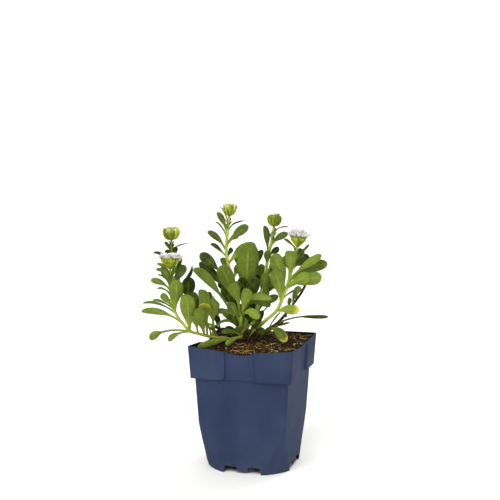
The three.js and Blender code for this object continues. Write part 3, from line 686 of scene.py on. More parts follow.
@dataclass(frozen=True)
class Blade:
    """One spoon-shaped leaf: a stalk that widens into a cupped, waved blade with a rib, and its colour."""

    ROW_LENGTH = 2.0
    LEAST_ROWS = 7
    ROW_EASE = 1.5
    NARROW = 4.0
    PETIOLE_HALF = 0.85
    PETIOLE_SHARE = 0.36
    WING_SHARE = 0.12
    WIDEST = 0.6
    CUPS = (0.08, 0.336)
    WAVES = (0.0375, 0.09)
    WAVE_TURNS = 7.0
    WAVE_LAG = 1.4
    CURLS = (0.0, 0.08)
    CURL_START = 0.72
    RIB = 0.34
    RIB_HALF = 0.8
    EDGE = 0.24
    BODY = 0.7
    STALK = 1.0
    TONE_SPREAD = 0.4

    path: tuple[Vector, Vector, Vector]
    width: float
    share: float
    tone: float
    blush: float = 0.0

    def along_stalk(self, at: float) -> float:
        """Find how much of the stalk lies behind a share of the leaf's length."""
        return min(at / (1.001 - self.share), 1.0)

    def half(self, at: float) -> float:
        """Find half the leaf's width.

        Args:
            at: the share of its length.

        Returns:
            The half width.
        """
        petiole = min(self.PETIOLE_HALF, self.PETIOLE_SHARE * self.width)
        wing = max(petiole, self.WING_SHARE * self.width)
        along = max((at - 1 + self.share) / self.share, 0.0)
        neck = petiole + (wing - petiole) * self.along_stalk(at)
        rise = math.sin((math.pi / 2) * min(along, self.WIDEST) / self.WIDEST) ** 1.2
        fall = math.sqrt(max(1 - (max(along - self.WIDEST, 0.0) / (1 - self.WIDEST)) ** 2.5, 0.004))
        return (neck + (self.width / 2 - neck) * rise) * fall

    def grow(self, draft: Draft, facing: Callable[[Vector, float], Vector]) -> None:
        """Add the leaf to its shoot.

        Args:
            draft: the shoot's draft.
            facing: gives the way its upper side faces, from the rib's direction and the share of its length.
        """
        root, knee, tip = self.path
        length = (tip - root).length
        rows = max(self.LEAST_ROWS, int(length / self.ROW_LENGTH))
        columns = 6 if self.width > self.NARROW else 4
        cup, wave = draft.draw(*self.CUPS), draft.draw(*self.WAVES) * self.width
        phase, curl = draft.draw(0, FULL_TURN), draft.draw(*self.CURLS) * length
        along = [1 - (1 - i / rows) ** self.ROW_EASE for i in range(rows + 1)]
        sides = [2 * j / columns - 1 for j in range(columns + 1)]
        rings = []
        for at in along:
            way = ((knee - root) * (2 * (1 - at)) + (tip - knee) * (2 * at)).normalized()
            face = facing(way, at)
            out, half = way.cross(face), self.half(at)
            spread = min(half / (self.width / 2), 1.0)
            past = max((at - self.CURL_START) / (1 - self.CURL_START), 0.0)
            middle = curve(root, knee, tip, at) - face * (curl * past**2)
            stalk = self.STALK * (1 - self.along_stalk(at))
            upper, lower = [], []
            for even in sides:
                side = math.copysign(abs(even) ** 0.85, even)
                ripple = math.sin(self.WAVE_TURNS * at + phase + (self.WAVE_LAG if side > 0 else 0))
                lift = (cup * half + wave * ripple) * spread * side**2
                groove = self.RIB * math.exp(-((side * half / self.RIB_HALF) ** 2)) * (1 - 0.7 * at)
                thick = self.EDGE + ((self.BODY - self.EDGE) * (1 - 0.5 * at) + stalk) * (1 - side**4)
                spot = middle + out * (side * half)
                upper.append(spot + face * (lift + thick / 2 - 0.4 * groove))
                lower.append(spot + face * (lift - thick / 2 - groove))
            rings.append(upper + lower[::-1])
        under = ([0.0] * len(sides) + [1.0] * len(sides)) * len(rings)
        tone = self.tone + draft.draw(-self.TONE_SPREAD, self.TONE_SPREAD)
        side_marks = (sides + sides[::-1]) * len(rings)
        draft.add(rings, along=along, side=side_marks, under=under, tone=tone, blush=self.blush)


@dataclass(frozen=True)
class Leaf:
    """One leaf that was sighted: its place on the stem counted in stem points, its tip, and its shape."""

    TURN_SPREAD = 8.0
    TWIST_SPREAD = 10.0
    PAINTED_SHADE_DEPTH = 20.0

    place: float
    across: float
    depth: float
    height: float
    width: float
    bow: float
    turn: float
    share: float = 0.66
    blush: float = 0.0

    def grow(self, draft: Draft, stem: StemLine) -> None:
        """Add the leaf to its shoot, turned by its degrees about its rib from facing the viewer.

        Args:
            draft: the shoot's draft.
            stem: the stem it grows from.
        """
        root, tip = stem.at(self.place), sighted(self.across, self.depth, self.height)
        rise = square(UP, (tip - root).normalized())
        knee = root.lerp(tip, 0.5) + rise * (2 * self.bow * (tip - root).length)
        to_eye = (EYE - tip).normalized()
        turn = math.radians(self.turn + draft.draw(-self.TURN_SPREAD, self.TURN_SPREAD))
        twist = math.radians(draft.draw(-self.TWIST_SPREAD, self.TWIST_SPREAD))
        # Painted shade: a leaf lying further behind the upright plane gets a darker tone, one in front a paler
        # one.
        tone = min(max(-self.depth / self.PAINTED_SHADE_DEPTH, -1.0), 1.0) + self.blush
        blade = Blade((root, knee, tip), self.width, self.share, tone, self.blush)
        blade.grow(draft, lambda way, at: Matrix.Rotation(turn + twist * at, 3, way) @ square(to_eye, way))


@dataclass(frozen=True)
class Whorl:
    """Small leaves round a stem that the photo blurs together. Their upper sides face the stem.

    They are spread along it in stem points, and the last is longer than the first by about the growth. Lengths,
    leans outwards and widths lie between two numbers. The bow and the blade's share are shares of the length.
    """

    spread: float
    length: tuple[float, float]
    growth: float
    lean: tuple[float, float]
    bow: float
    width: tuple[float, float]
    share: float
    tone: float = 0.0

    def grow(self, draft: Draft, line: StemLine, start: float, count: int) -> None:
        """Add the leaves, each a golden angle on from the one before.

        Args:
            draft: the shoot's draft.
            line: the stem's middle line.
            start: the first one's place on it.
            count: how many there are.
        """
        first = draft.draw(0, FULL_TURN)
        for index in range(count):
            place = start + self.spread * index / count
            root, forward = line.at(place), line.forward(place)
            out = spoke(frames([root, root + forward])[0], first + index * GOLDEN_ANGLE)
            length = draft.draw(*self.length) + self.growth * index / count
            tip = root + (out * draft.draw(*self.lean) + forward).normalized() * length
            knee = root.lerp(tip, 0.5) + (out - forward * 0.3) * (self.bow * length)
            inward = UP * 0.4 - out
            blade = Blade((root, knee, tip), draft.draw(*self.width), self.share, self.tone)
            blade.grow(draft, lambda way, _, face=inward: square(face, way))


@dataclass(frozen=True)
class Shoot:
    """One leafy shoot: its stem, and a row of numbers for each leaf that was sighted on it, as in Leaf."""

    STEM_SIDES = 10
    STEM_STEPS = 6
    SWELL = 0.1
    SWELL_REACH = 0.12
    MOST_SWELL = 1.5
    UNEVENNESS = (0.97, 1.03)
    BARK_BLEND = 0.8
    TUFT = Whorl(-0.8, (3.5, 5.5), 1.5, (0.5, 0.8), 0.1, (1.7, 2.7), 0.75)
    TUFT_BELOW_TOP = 0.4
    TUFT_LEAVES = 7
    LOW_LEAVES = Whorl(1.9, (12.0, 19.0), 0.0, (0.35, 0.6), 0.12, (3.6, 5.6), 0.7, -0.9)
    LOW_START = 1.25

    name: str
    radius: tuple[float, float]
    bark: float
    points: tuple[Triple, ...]
    rows: tuple[tuple[float, ...], ...]
    low: int = 0

    def stem(self, draft: Draft, line: StemLine) -> None:
        """Add the stem, with a slight swelling at each leaf.

        Args:
            draft: the shoot's draft.
            line: the stem's middle line.
        """
        places = line.walk(self.STEM_STEPS)
        foot, top = self.radius
        radii = []
        for place in places:
            swell = sum(math.exp(-(((place - row[0]) / self.SWELL_REACH) ** 2)) for row in self.rows)
            plain = foot + (top - foot) * place / line.stretches
            swollen = 1 + self.SWELL * min(swell, self.MOST_SWELL)
            radii.append(plain * swollen * draft.draw(*self.UNEVENNESS))
        low, high = self.bark - self.BARK_BLEND, self.bark + self.BARK_BLEND
        bark = [1 - smooth(low, high, place) for place in places]
        draft.tube([line.at(place) for place in places], radii, self.STEM_SIDES, 1, bark=bark)

    def build(self, leaf_skin: Material, stem_skin: Material) -> StemLine:
        """Build the shoot as one piece that stands for its solid.

        Args:
            leaf_skin: the leaves' finish.
            stem_skin: the stem's finish.

        Returns:
            The stem's middle line, for the head that may stand on it.
        """
        line = StemLine([sighted(*point) for point in self.points])
        draft = Draft(random.Random(self.name))
        for index, row in enumerate(self.rows):
            draft.chance = random.Random(f"{self.name} leaf {index}")
            Leaf(*row).grow(draft, line)
        draft.chance = random.Random(f"{self.name} stem")
        self.stem(draft, line)
        self.TUFT.grow(draft, line, line.stretches - self.TUFT_BELOW_TOP, self.TUFT_LEAVES)
        draft.chance = random.Random(f"{self.name} low leaves")
        self.LOW_LEAVES.grow(draft, line, self.LOW_START, self.low)
        settle(draft.piece(f"leaves_{self.name}", leaf_skin, stem_skin), f"shoot_{self.name}")
        return line


# The heads


def slim(
    draft: Draft, path: Sequence[Vector], face: Vector, halves: Sequence[float], thick: float, **marks: Any
) -> None:
    """Add a small thin blade, such as a petal or a sepal.

    Args:
        draft: what it is added to.
        path: its foot, the point that its middle line is drawn towards, and its tip.
        face: the way its broad side faces.
        halves: half its width at the foot, at the widest place and at the end.
        thick: its thickness.
        marks: numbers for all its points.
    """
    steps, shoulder, dish = 6, 0.65, 0.25
    foot, wide, end = halves
    spread = [-1.0, -0.5, 0.0, 0.5, 1.0]
    along = [i / steps for i in range(steps + 1)]
    line = [curve(*path, at) for at in along]
    rings = []
    for i, (at, middle) in enumerate(zip(along, line)):
        way = (line[min(i + 1, steps)] - line[max(i - 1, 0)]).normalized()
        up = square(face, way)
        out = way.cross(up)
        half = foot + (wide - foot) * smooth(0.0, shoulder, at)
        if at > shoulder:
            half = end + (wide - end) * math.sqrt(max(1 - ((at - shoulder) / (1 - shoulder)) ** 2, 0.0))
        spine = [middle + out * (half * s) + up * (dish * half * s**2) for s in spread]
        lift = up * (thick / 2)
        rings.append([point + lift for point in spine] + [point - lift for point in reversed(spine)])
    draft.add(rings, along=along, side=(spread + spread[::-1]) * len(rings), **marks)


class HeadForm(Enum):
    """How far a head has come, with its outline from the foot up: shares of its width and of its height."""

    DOME = ((0.08, 0.0), (0.26, 0.06), (0.42, 0.28), (0.49, 0.58), (0.45, 0.84), (0.28, 0.95))
    BOWL = ((0.08, 0.0), (0.25, 0.12), (0.39, 0.4), (0.47, 0.72), (0.48, 0.94))
    OPEN = ((0.08, 0.0), (0.28, 0.4), (0.42, 0.74), (0.47, 1.0))


@dataclass(frozen=True)
class Head:
    """One flower head: ribs of buds or stalks round a core, with more buds or white petals on top."""

    SEAT_GAP = 0.39
    RIB_STEPS = 12
    RIB_SIDES = 8
    RIB_REACH = (0.93, 1.0)
    CLOSED_FULLNESS = 0.86
    LEAST_RIB = 0.3
    CORE_SHARE = 0.8
    CORE_SIDES = 20
    CORE_STEPS = 3
    INNER_RIBS_LESS = 4
    INNER_SHARE = 0.72
    SEPALS = 4
    SEPAL = 3.2
    SEPAL_LEAN = (0.5, 1.3)
    SEPAL_ASIDE = 0.54
    SEPAL_HALVES = (0.4, 0.55, 0.1)
    SEPAL_THICK = 0.2
    # One bud from foot to tip: share of its length, share of its half width
    BUD_RINGS = ((0.0, 0.4), (0.14, 0.78), (0.36, 1.0), (0.62, 0.94), (0.84, 0.62), (0.96, 0.28), (1.0, 0.08))
    BUD_LENGTH = (3.6, 4.4)
    BUD_HALF = (0.85, 1.15)
    SHARP_SLIMMING = 0.4
    # Rings of buds: how many, share of the width, share of the height, lean outwards
    TOP_BUDS = ((13, 0.34, 1.0, 0.3), (9, 0.22, 1.02, 0.2), (5, 0.1, 1.03, 0.1), (1, 0.0, 1.03, 0.0))
    # Rings of florets: how many, foot as a share of the width, reach and rise as shares of the crown's
    FLORETS = ((14, 0.38, 1.04, 0.62), (11, 0.28, 0.78, 1.05), (7, 0.13, 0.4, 1.1))
    PETALS = 6
    PETAL_REACH = (0.92, 1.05)
    PETAL_RISE = (0.5, 1.15)
    PETAL_HALF = (0.6, 1.05)
    PETAL_FOOT = 0.3
    PETAL_END = 0.3
    PETAL_BOW = 0.14
    PETAL_SINK = 0.4
    PETAL_THICK = 0.14

    shoot: str
    width: float
    height: float
    form: HeadForm
    ribs: int
    ripe: float
    sharp: float = 0.0
    crown: tuple[float, float] = (0.0, 0.0)

    @property
    def is_open(self) -> bool:
        """Tell whether the head has opened."""
        return self.form is HeadForm.OPEN

    def ripeness(self, draft: Draft, spread: float) -> float:
        """Draw how near to opening one bud is."""
        return min(max(self.ripe + draft.draw(-spread, spread), 0.0), 1.0)

    def rib(self, draft: Draft, outline: StemLine, angle: float, inner: float) -> None:
        """Add one rib that follows the outline: a long bud, or the stalk of a floret with its sepals.

        Args:
            draft: the head's draft.
            outline: the green part's outline.
            angle: its place round the head.
            inner: how much of the outline's radius it keeps.
        """
        out = spoke(AXES, angle)
        reach = outline.stretches * draft.draw(*self.RIB_REACH)
        shares = [i / self.RIB_STEPS for i in range(self.RIB_STEPS + 1)]
        fullness = 1.0 if self.is_open else self.CLOSED_FULLNESS
        path, radii = [], []
        for share in shares:
            edge = outline.at(reach * share)
            fat = max(fullness * math.pi * edge.x * inner / self.ribs, self.LEAST_RIB)
            fat *= 1 + 0.12 * smooth(0.6, 0.85, share) - 0.75 * smooth(0.88, 1.0, share)
            path.append(out * max(edge.x * inner - fat, 0.1) + UP * edge.z)
            radii.append(fat)
        ripe = 0.2 if self.is_open else self.ripeness(draft, 0.4)
        tone = draft.draw(-0.5, 1.0) if self.is_open else draft.draw(-0.9, 0.7) - 0.8 * self.sharp
        along = [0.2 + 0.8 * share for share in shares]
        draft.tube(path, radii, self.RIB_SIDES, along=along, ripe=ripe, tone=tone, gap=0.0)
        for _ in range(self.SEPALS if self.is_open else 0):
            aside = UP.cross(out) * draft.draw(-self.SEPAL_ASIDE, self.SEPAL_ASIDE)
            self.sepal(draft, path[-3], out * draft.draw(*self.SEPAL_LEAN) + aside)

    def sepal(self, draft: Draft, base: Vector, aside: Vector) -> None:
        """Add one pointed sepal below a floret.

        Args:
            draft: the head's draft.
            base: its foot.
            aside: how far it leans, and which way.
        """
        way = (UP + aside).normalized()
        tip = base + way * self.SEPAL * draft.draw(0.8, 1.2)
        path = (base, base.lerp(tip, 0.5) + aside * 0.25, tip)
        slim(draft, path, square(UP, way), self.SEPAL_HALVES, self.SEPAL_THICK, tone=draft.draw(-1, 1))

    def bud(self, draft: Draft, base: Vector, way: Vector, length: float, half: float) -> None:
        """Add one ribbed bud.

        Args:
            draft: the head's draft.
            base: where the bud starts.
            way: the direction it points.
            length: its length.
            half: its half width.
        """
        pair = frames([base, base + way])[0]
        around = [(FULL_TURN * j / self.RIB_SIDES, 1.0 if j % 2 else 0.9) for j in range(self.RIB_SIDES)]
        rings = []
        for share, wide in self.BUD_RINGS:
            radius = half * wide * (1 - self.sharp * share)
            middle = base + way * (length * share)
            rings.append([middle + spoke(pair, angle, radius * dent) for angle, dent in around])
        along = [share for share, _ in self.BUD_RINGS]
        ripe = self.ripeness(draft, 0.35)
        draft.add(rings, along=along, ripe=ripe, tone=draft.draw(-1, 1) - self.sharp, gap=0.0)

    def top_buds(self, draft: Draft) -> None:
        """Add the rings of buds that stand on a closed head.

        Args:
            draft: the head's draft.
        """
        for count, place, top, lean in self.TOP_BUDS:
            for angle in draft.angles(count, 0.2):
                out = spoke(AXES, angle)
                way = (out * lean + UP).normalized()
                length, half = draft.draw(*self.BUD_LENGTH), draft.draw(*self.BUD_HALF)
                half *= 1 - self.SHARP_SLIMMING * self.sharp
                tall = top * self.height * draft.draw(0.93 + 0.07 * self.sharp, 1.05 + 0.2 * self.sharp)
                tip = out * (place * self.width) + UP * tall
                self.bud(draft, tip - way * length, way, length, half)

    def petals(self, draft: Draft) -> None:
        """Add an open head's petals, which bend outwards to their round ends.

        Args:
            draft: the petals' draft.
        """
        wide, high = self.crown
        for count, foot, reach, rise in self.FLORETS:
            for angle in draft.angles(count, 0.2, foot):
                base = spoke(AXES, angle) * (foot * self.width) + UP * (self.height - self.PETAL_SINK)
                for _ in range(self.PETALS):
                    turn = angle + draft.draw(-1.0, 1.0) * math.pi / count
                    tip = spoke(AXES, turn) * (reach * wide / 2 * draft.draw(*self.PETAL_REACH))
                    tip += UP * (self.height + high * rise * draft.draw(*self.PETAL_RISE))
                    half = draft.draw(*self.PETAL_HALF)
                    face = square(UP, (tip - base).normalized())
                    path = (base, base.lerp(tip, 0.5) + face * (self.PETAL_BOW * (tip - base).length), tip)
                    halves = (self.PETAL_FOOT, half, self.PETAL_END * half)
                    slim(draft, path, face, halves, self.PETAL_THICK, tone=draft.draw(-1, 1))

    def green(self, draft: Draft) -> None:
        """Add the green part: a core, ribs round it, and inner ribs or buds on top.

        Args:
            draft: the head's draft.
        """
        outline = StemLine([Vector((self.width * out, 0, self.height * up)) for out, up in self.form.value])
        core = [outline.at(i / self.CORE_STEPS) for i in range(self.CORE_STEPS * outline.stretches)]
        middle, radii = [UP * edge.z for edge in core], [self.CORE_SHARE * edge.x for edge in core]
        # The core, between the ribs, takes a painted shade, half as strong on an open head.
        gap = 0.5 if self.is_open else 1.0
        draft.tube(middle, radii, self.CORE_SIDES, along=0.2, ripe=0.0, tone=0.4, gap=gap)
        for angle in draft.angles(self.ribs, 0.12):
            self.rib(draft, outline, angle, 1.0)
        if not self.is_open:
            self.top_buds(draft)
            return
        for angle in draft.angles(self.ribs - self.INNER_RIBS_LESS, 0.2):
            self.rib(draft, outline, angle, self.INNER_SHARE)

    def build(self, line: StemLine, bud_skin: Material, petal_skin: Material) -> None:
        """Build the head's green part as one piece that stands for its solid, and its petals as another.

        Args:
            line: the middle line of the stem it stands on.
            bud_skin: the green part's finish.
            petal_skin: the petals' finish.
        """
        end = float(line.stretches)
        forward = line.forward(end)
        lean = UP.rotation_difference((forward + UP).normalized()).to_matrix().to_4x4()
        seat = Matrix.Translation(line.at(end) + forward * self.SEAT_GAP) @ lean
        draft = Draft(random.Random(f"{self.shoot} head"))
        self.green(draft)
        draft.move(seat)
        settle(draft.piece(f"buds_{self.shoot}", bud_skin), f"head_{self.shoot}")
        if self.is_open:
            draft = Draft(random.Random(f"{self.shoot} petals"))
            self.petals(draft)
            draft.move(seat)
            settle(draft.piece(f"florets_{self.shoot}", petal_skin), f"petals_{self.shoot}")


# The soil


@dataclass(frozen=True)
class Soil:
    """The potting mix: a crumbly top with fibres and flakes on it, and the rest of the filling below."""

    RIM_STRANDS = (
        ((-9, -39, 101.5), (-7, -41.5, 105.5), (-3, -43.6, 105.6), (2, -44.2, 104.4), (7, -43.9, 104.6)),
        ((-6, -38, 101.5), (-2, -41.2, 105.8), (3, -43.4, 105.9), (9, -44, 105.2)),
        ((1, -38, 101.5), (3.5, -41, 105.2), (7.5, -43, 106.2), (11.5, -42.8, 106.8)),
    )
    STRAND_RADIUS = 0.17
    FIBRE_STEPS = 7
    # One flake from end to end: share of its half length, share of its half width
    FLAKE_RINGS = ((-1.0, 0.35), (-0.4, 0.95), (0.35, 1.0), (1.0, 0.3))
    FLAKE_THICK = 0.28
    FLAKE_LIFT = 0.25
    FIBRE_LENGTH = (3.0, 12.0)
    FIBRE_RADIUS = (0.1, 0.2)
    SHORT_STOUTNESS = 0.12
    LEAST_SPAN = 0.3
    # Swells, clods and crumbs of the top: fineness, place in the noise
    NOISES = ((0.16, 3.0), (0.42, 7.0), (1.1, 11.0))
    SWELL_RISE = 0.9
    CLOD_FLOOR = -0.25
    CRUMB_RISE = 0.45
    SETTLED = 0.3
    CALM_EDGE = 0.93

    cells: int = 110
    inset: float = 1.5
    panel_ends: tuple[float, float] = (14.6, 17.6)
    recess: float = 2.0
    fibres: int = 1500
    flakes: int = 420
    top_half: float = 43.0
    # Going down: height, half width
    low_rows: tuple[tuple[float, float], ...] = (
        (94.0, 43.0), (81.6, 41.6), (80.0, 38.6), (14.5, 34.7), (4.6, 34.3),
    )
    # The pot's corners are cut by a cone: its radius at the base, and how much it gains with each millimetre
    cone: tuple[float, float] = (38.3, 0.309)

    def half(self, along: float) -> float:
        """Find how far from the axis the soil's side is. It lies deeper behind the middle panels."""
        panel = 1 - smooth(*self.panel_ends, abs(along))
        return RIM_HALF - self.inset - self.recess * panel

    def reach(self, clear: float) -> float:
        """Find how far a loose thing may lie from the axis."""
        return RIM_HALF - self.inset - self.recess - clear

    def top(self, x: float, y: float) -> float:
        """Find the height of the crumbly top.

        Args:
            x: place across the pot.
            y: place from its front to its back.

        Returns:
            The height above its base.
        """
        swells, clods, crumbs = (noise.noise(Vector((fine * x, fine * y, z))) for fine, z in self.NOISES)
        relief = self.SWELL_RISE * swells + max(clods, self.CLOD_FLOOR) + self.CRUMB_RISE * crumbs
        edge = smooth(1.0, self.CALM_EDGE, max(abs(x), abs(y)) / RIM_HALF)
        return soil_height(x, y) - self.SETTLED + edge * relief

    def surface(self, draft: Draft) -> None:
        """Add the crumbly top and the sides below it, down to the pot's floor.

        Args:
            draft: the soil's draft, still empty.
        """
        count, points = self.cells, draft.points
        for row in range(count + 1):
            for column in range(count + 1):
                u, v = 2 * column / count - 1, 2 * row / count - 1
                x, y = u * self.half(v * RIM_HALF), v * self.half(u * RIM_HALF)
                points.append(Vector((x, y, self.top(x, y))))
        across = count + 1
        for low in (row * across + column for row in range(count) for column in range(count)):
            draft.faces.append((low, low + 1, low + 1 + across, low + across))
        edge = [i for i in range(count)] + [count + i * across for i in range(count)]
        edge += [across * across - 1 - i for i in range(count)] + [(count - i) * across for i in range(count)]
        above = edge
        for height, half in self.low_rows:
            below = list(range(len(points), len(points) + len(edge)))
            for corner in edge:
                x, y, _ = points[corner]
                scale = half / max(abs(x), abs(y)) if half < 40 else min(1.0, half / self.top_half)
                scale = min(scale, (self.cone[0] + self.cone[1] * height) / math.hypot(x, y))
                points.append(Vector((x * scale, y * scale, height)))
            for i, corner in enumerate(above):
                following = (i + 1) % len(above)
                draft.faces.append((below[i], below[following], above[following], corner))
            above = below
        draft.faces.append(tuple(reversed(above)))

    def spot(self, draft: Draft) -> tuple[float, float]:
        """Draw a place on the soil, clear of the walls."""
        reach = self.reach(1.2)
        return draft.draw(-reach, reach), draft.draw(-reach, reach)

    def fibre(self, draft: Draft) -> None:
        """Add one curved fibre that lies on the crumbs, unless it has rolled up.

        Args:
            draft: the soil's draft.
        """
        chance, steps, reach = draft.chance, self.FIBRE_STEPS, self.reach(0.6)
        x, y = self.spot(draft)
        long = chance.random() ** 2
        shortest, more = self.FIBRE_LENGTH
        length = shortest + more * long
        thick = draft.draw(*self.FIBRE_RADIUS) + self.SHORT_STOUTNESS * (1 - long)
        heading, bend = draft.draw(0, FULL_TURN), draft.draw(-0.5, 0.5)
        rise = draft.draw(0.0, 0.16) * length if chance.random() < 0.35 else 0.0
        path = []
        for i in range(steps + 1):
            path.append(Vector((x, y, self.top(x, y) + thick * 0.6 + 0.3 + rise * (i / steps) ** 2)))
            heading += bend + draft.draw(-0.35, 0.35)
            x = min(max(x + math.cos(heading) * length / steps, -reach), reach)
            y = min(max(y + math.sin(heading) * length / steps, -reach), reach)
        if (path[-1] - path[0]).length < self.LEAST_SPAN * length:
            return
        radii = [thick * (1 - 0.75 * abs(2 * i / steps - 1) ** 3) for i in range(steps + 1)]
        lit = smooth(-30, 5, x) * smooth(12, -20, y)
        draft.tube(path, radii, 4, 1, tone=chance.random() ** (4.0 - 2.2 * lit))

    def flake(self, draft: Draft) -> None:
        """Add one bark flake that lies tilted on the crumbs.

        Args:
            draft: the soil's draft.
        """
        x, y = self.spot(draft)
        turn, tilt = draft.draw(0, FULL_TURN), draft.draw(-0.5, 0.5)
        long, wide = draft.draw(1.0, 3.4), draft.draw(0.5, 1.4)
        place = Matrix.Translation((x, y, self.top(x, y) + self.FLAKE_LIFT)) @ Matrix.Rotation(turn, 4, "Z")
        place = place @ Matrix.Rotation(tilt, 4, "X")
        rings = []
        for along, share in self.FLAKE_RINGS:
            half, thick = wide * share * draft.draw(0.8, 1.1), self.FLAKE_THICK * share
            corners = ((half, -thick), (half, thick), (-half, thick), (-half, -thick))
            rings.append([place @ Vector((long * along, out, up)) for out, up in corners])
        draft.add(rings, 1, tone=draft.chance.random() ** 3 * 0.7)

    def build(self, mix: Material, fibre_skin: Material) -> None:
        """Build the soil as one piece, with the pale strands that were swept over the rim's sagging front.

        Args:
            mix: the crumbs' finish.
            fibre_skin: the finish of fibres, flakes and strands.
        """
        draft = Draft(random.Random("soil"), turn=0.0)
        self.surface(draft)
        draft.slots = [0] * len(draft.faces)
        for _ in range(self.fibres):
            self.fibre(draft)
        for _ in range(self.flakes):
            self.flake(draft)
        for points in self.RIM_STRANDS:
            strand = StemLine([Vector(point) for point in points])
            path = [strand.at(place) for place in strand.walk(6)]
            radii = [self.STRAND_RADIUS * (1 - 0.5 * i / (len(path) - 1)) for i in range(len(path))]
            draft.tube(path, radii, 5, 1, tone=0.85)
        settle(draft.piece("potting_soil", mix, fibre_skin), "soil")


# The pot


@dataclass(frozen=True)
class Pot:
    """The nursery pot, from its own solid, with every moulded edge softened."""

    edge: float = 0.4
    edge_steps: int = 3
    crease: float = math.radians(4)
    cone_facet: float = math.radians(12)
    flat: float = math.radians(0.6)
    same_slope: float = 0.02
    same_point: float = 1e-5

    def is_edge(self, edge: bmesh.types.BMEdge) -> bool:
        """Tell a moulded edge from the lines between the facets of the corners' round foot.

        Args:
            edge: an edge of the solid.

        Returns:
            Whether it is to be softened.
        """
        if len(edge.link_faces) != 2:
            return False
        one, other = (face.normal for face in edge.link_faces)
        is_cone = abs(one.z - other.z) < self.same_slope
        return one.angle(other) > (self.cone_facet if is_cone else self.crease)

    @staticmethod
    def is_inside(face: bpy.types.MeshPolygon) -> bool:
        """Tell the wall's inner faces, which take a painted shade, from the outer ones."""
        return face.normal.x * face.center.x + face.normal.y * face.center.y < -0.3 * face.center.xy.length

    def rough(self) -> bpy.types.Mesh:
        """Copy the solid without its triangles' seams, with a weight on every moulded edge.

        Returns:
            The copy.
        """
        shape = bmesh.new()
        shape.from_mesh(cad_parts["pot"].data)
        bmesh.ops.remove_doubles(shape, verts=shape.verts, dist=self.same_point)
        bmesh.ops.dissolve_limit(shape, angle_limit=self.flat, verts=shape.verts, edges=shape.edges)
        shape.normal_update()
        moulded = [float(self.is_edge(edge)) for edge in shape.edges]
        mesh = bpy.data.meshes.new("pot_rough")
        shape.to_mesh(mesh)
        shape.free()
        mesh.attributes.new("bevel_weight_edge", "FLOAT", "EDGE").data.foreach_set("value", moulded)
        mesh.shade_smooth()
        return mesh

    def build(self, plastic: Material) -> None:
        """Build the pot as one piece that stands for its solid.

        Args:
            plastic: its finish.
        """
        rough = placed("pot_rough", self.rough())
        soften = rough.modifiers.new("soft_edges", "BEVEL")
        soften.width = self.edge * MM
        soften.segments = self.edge_steps
        soften.limit_method = "WEIGHT"
        soften.harden_normals = True
        final = bpy.data.meshes.new_from_object(rough.evaluated_get(bpy.context.evaluated_depsgraph_get()))
        final.name = "pot_shell"
        bpy.data.objects.remove(rough)
        inside = [float(self.is_inside(face)) for face in final.polygons]
        final.attributes.new("inside", "FLOAT", "FACE").data.foreach_set("value", inside)
        final.materials.clear()
        final.materials.append(plastic)
        settle(placed("pot_shell", final), "pot")


# The studio


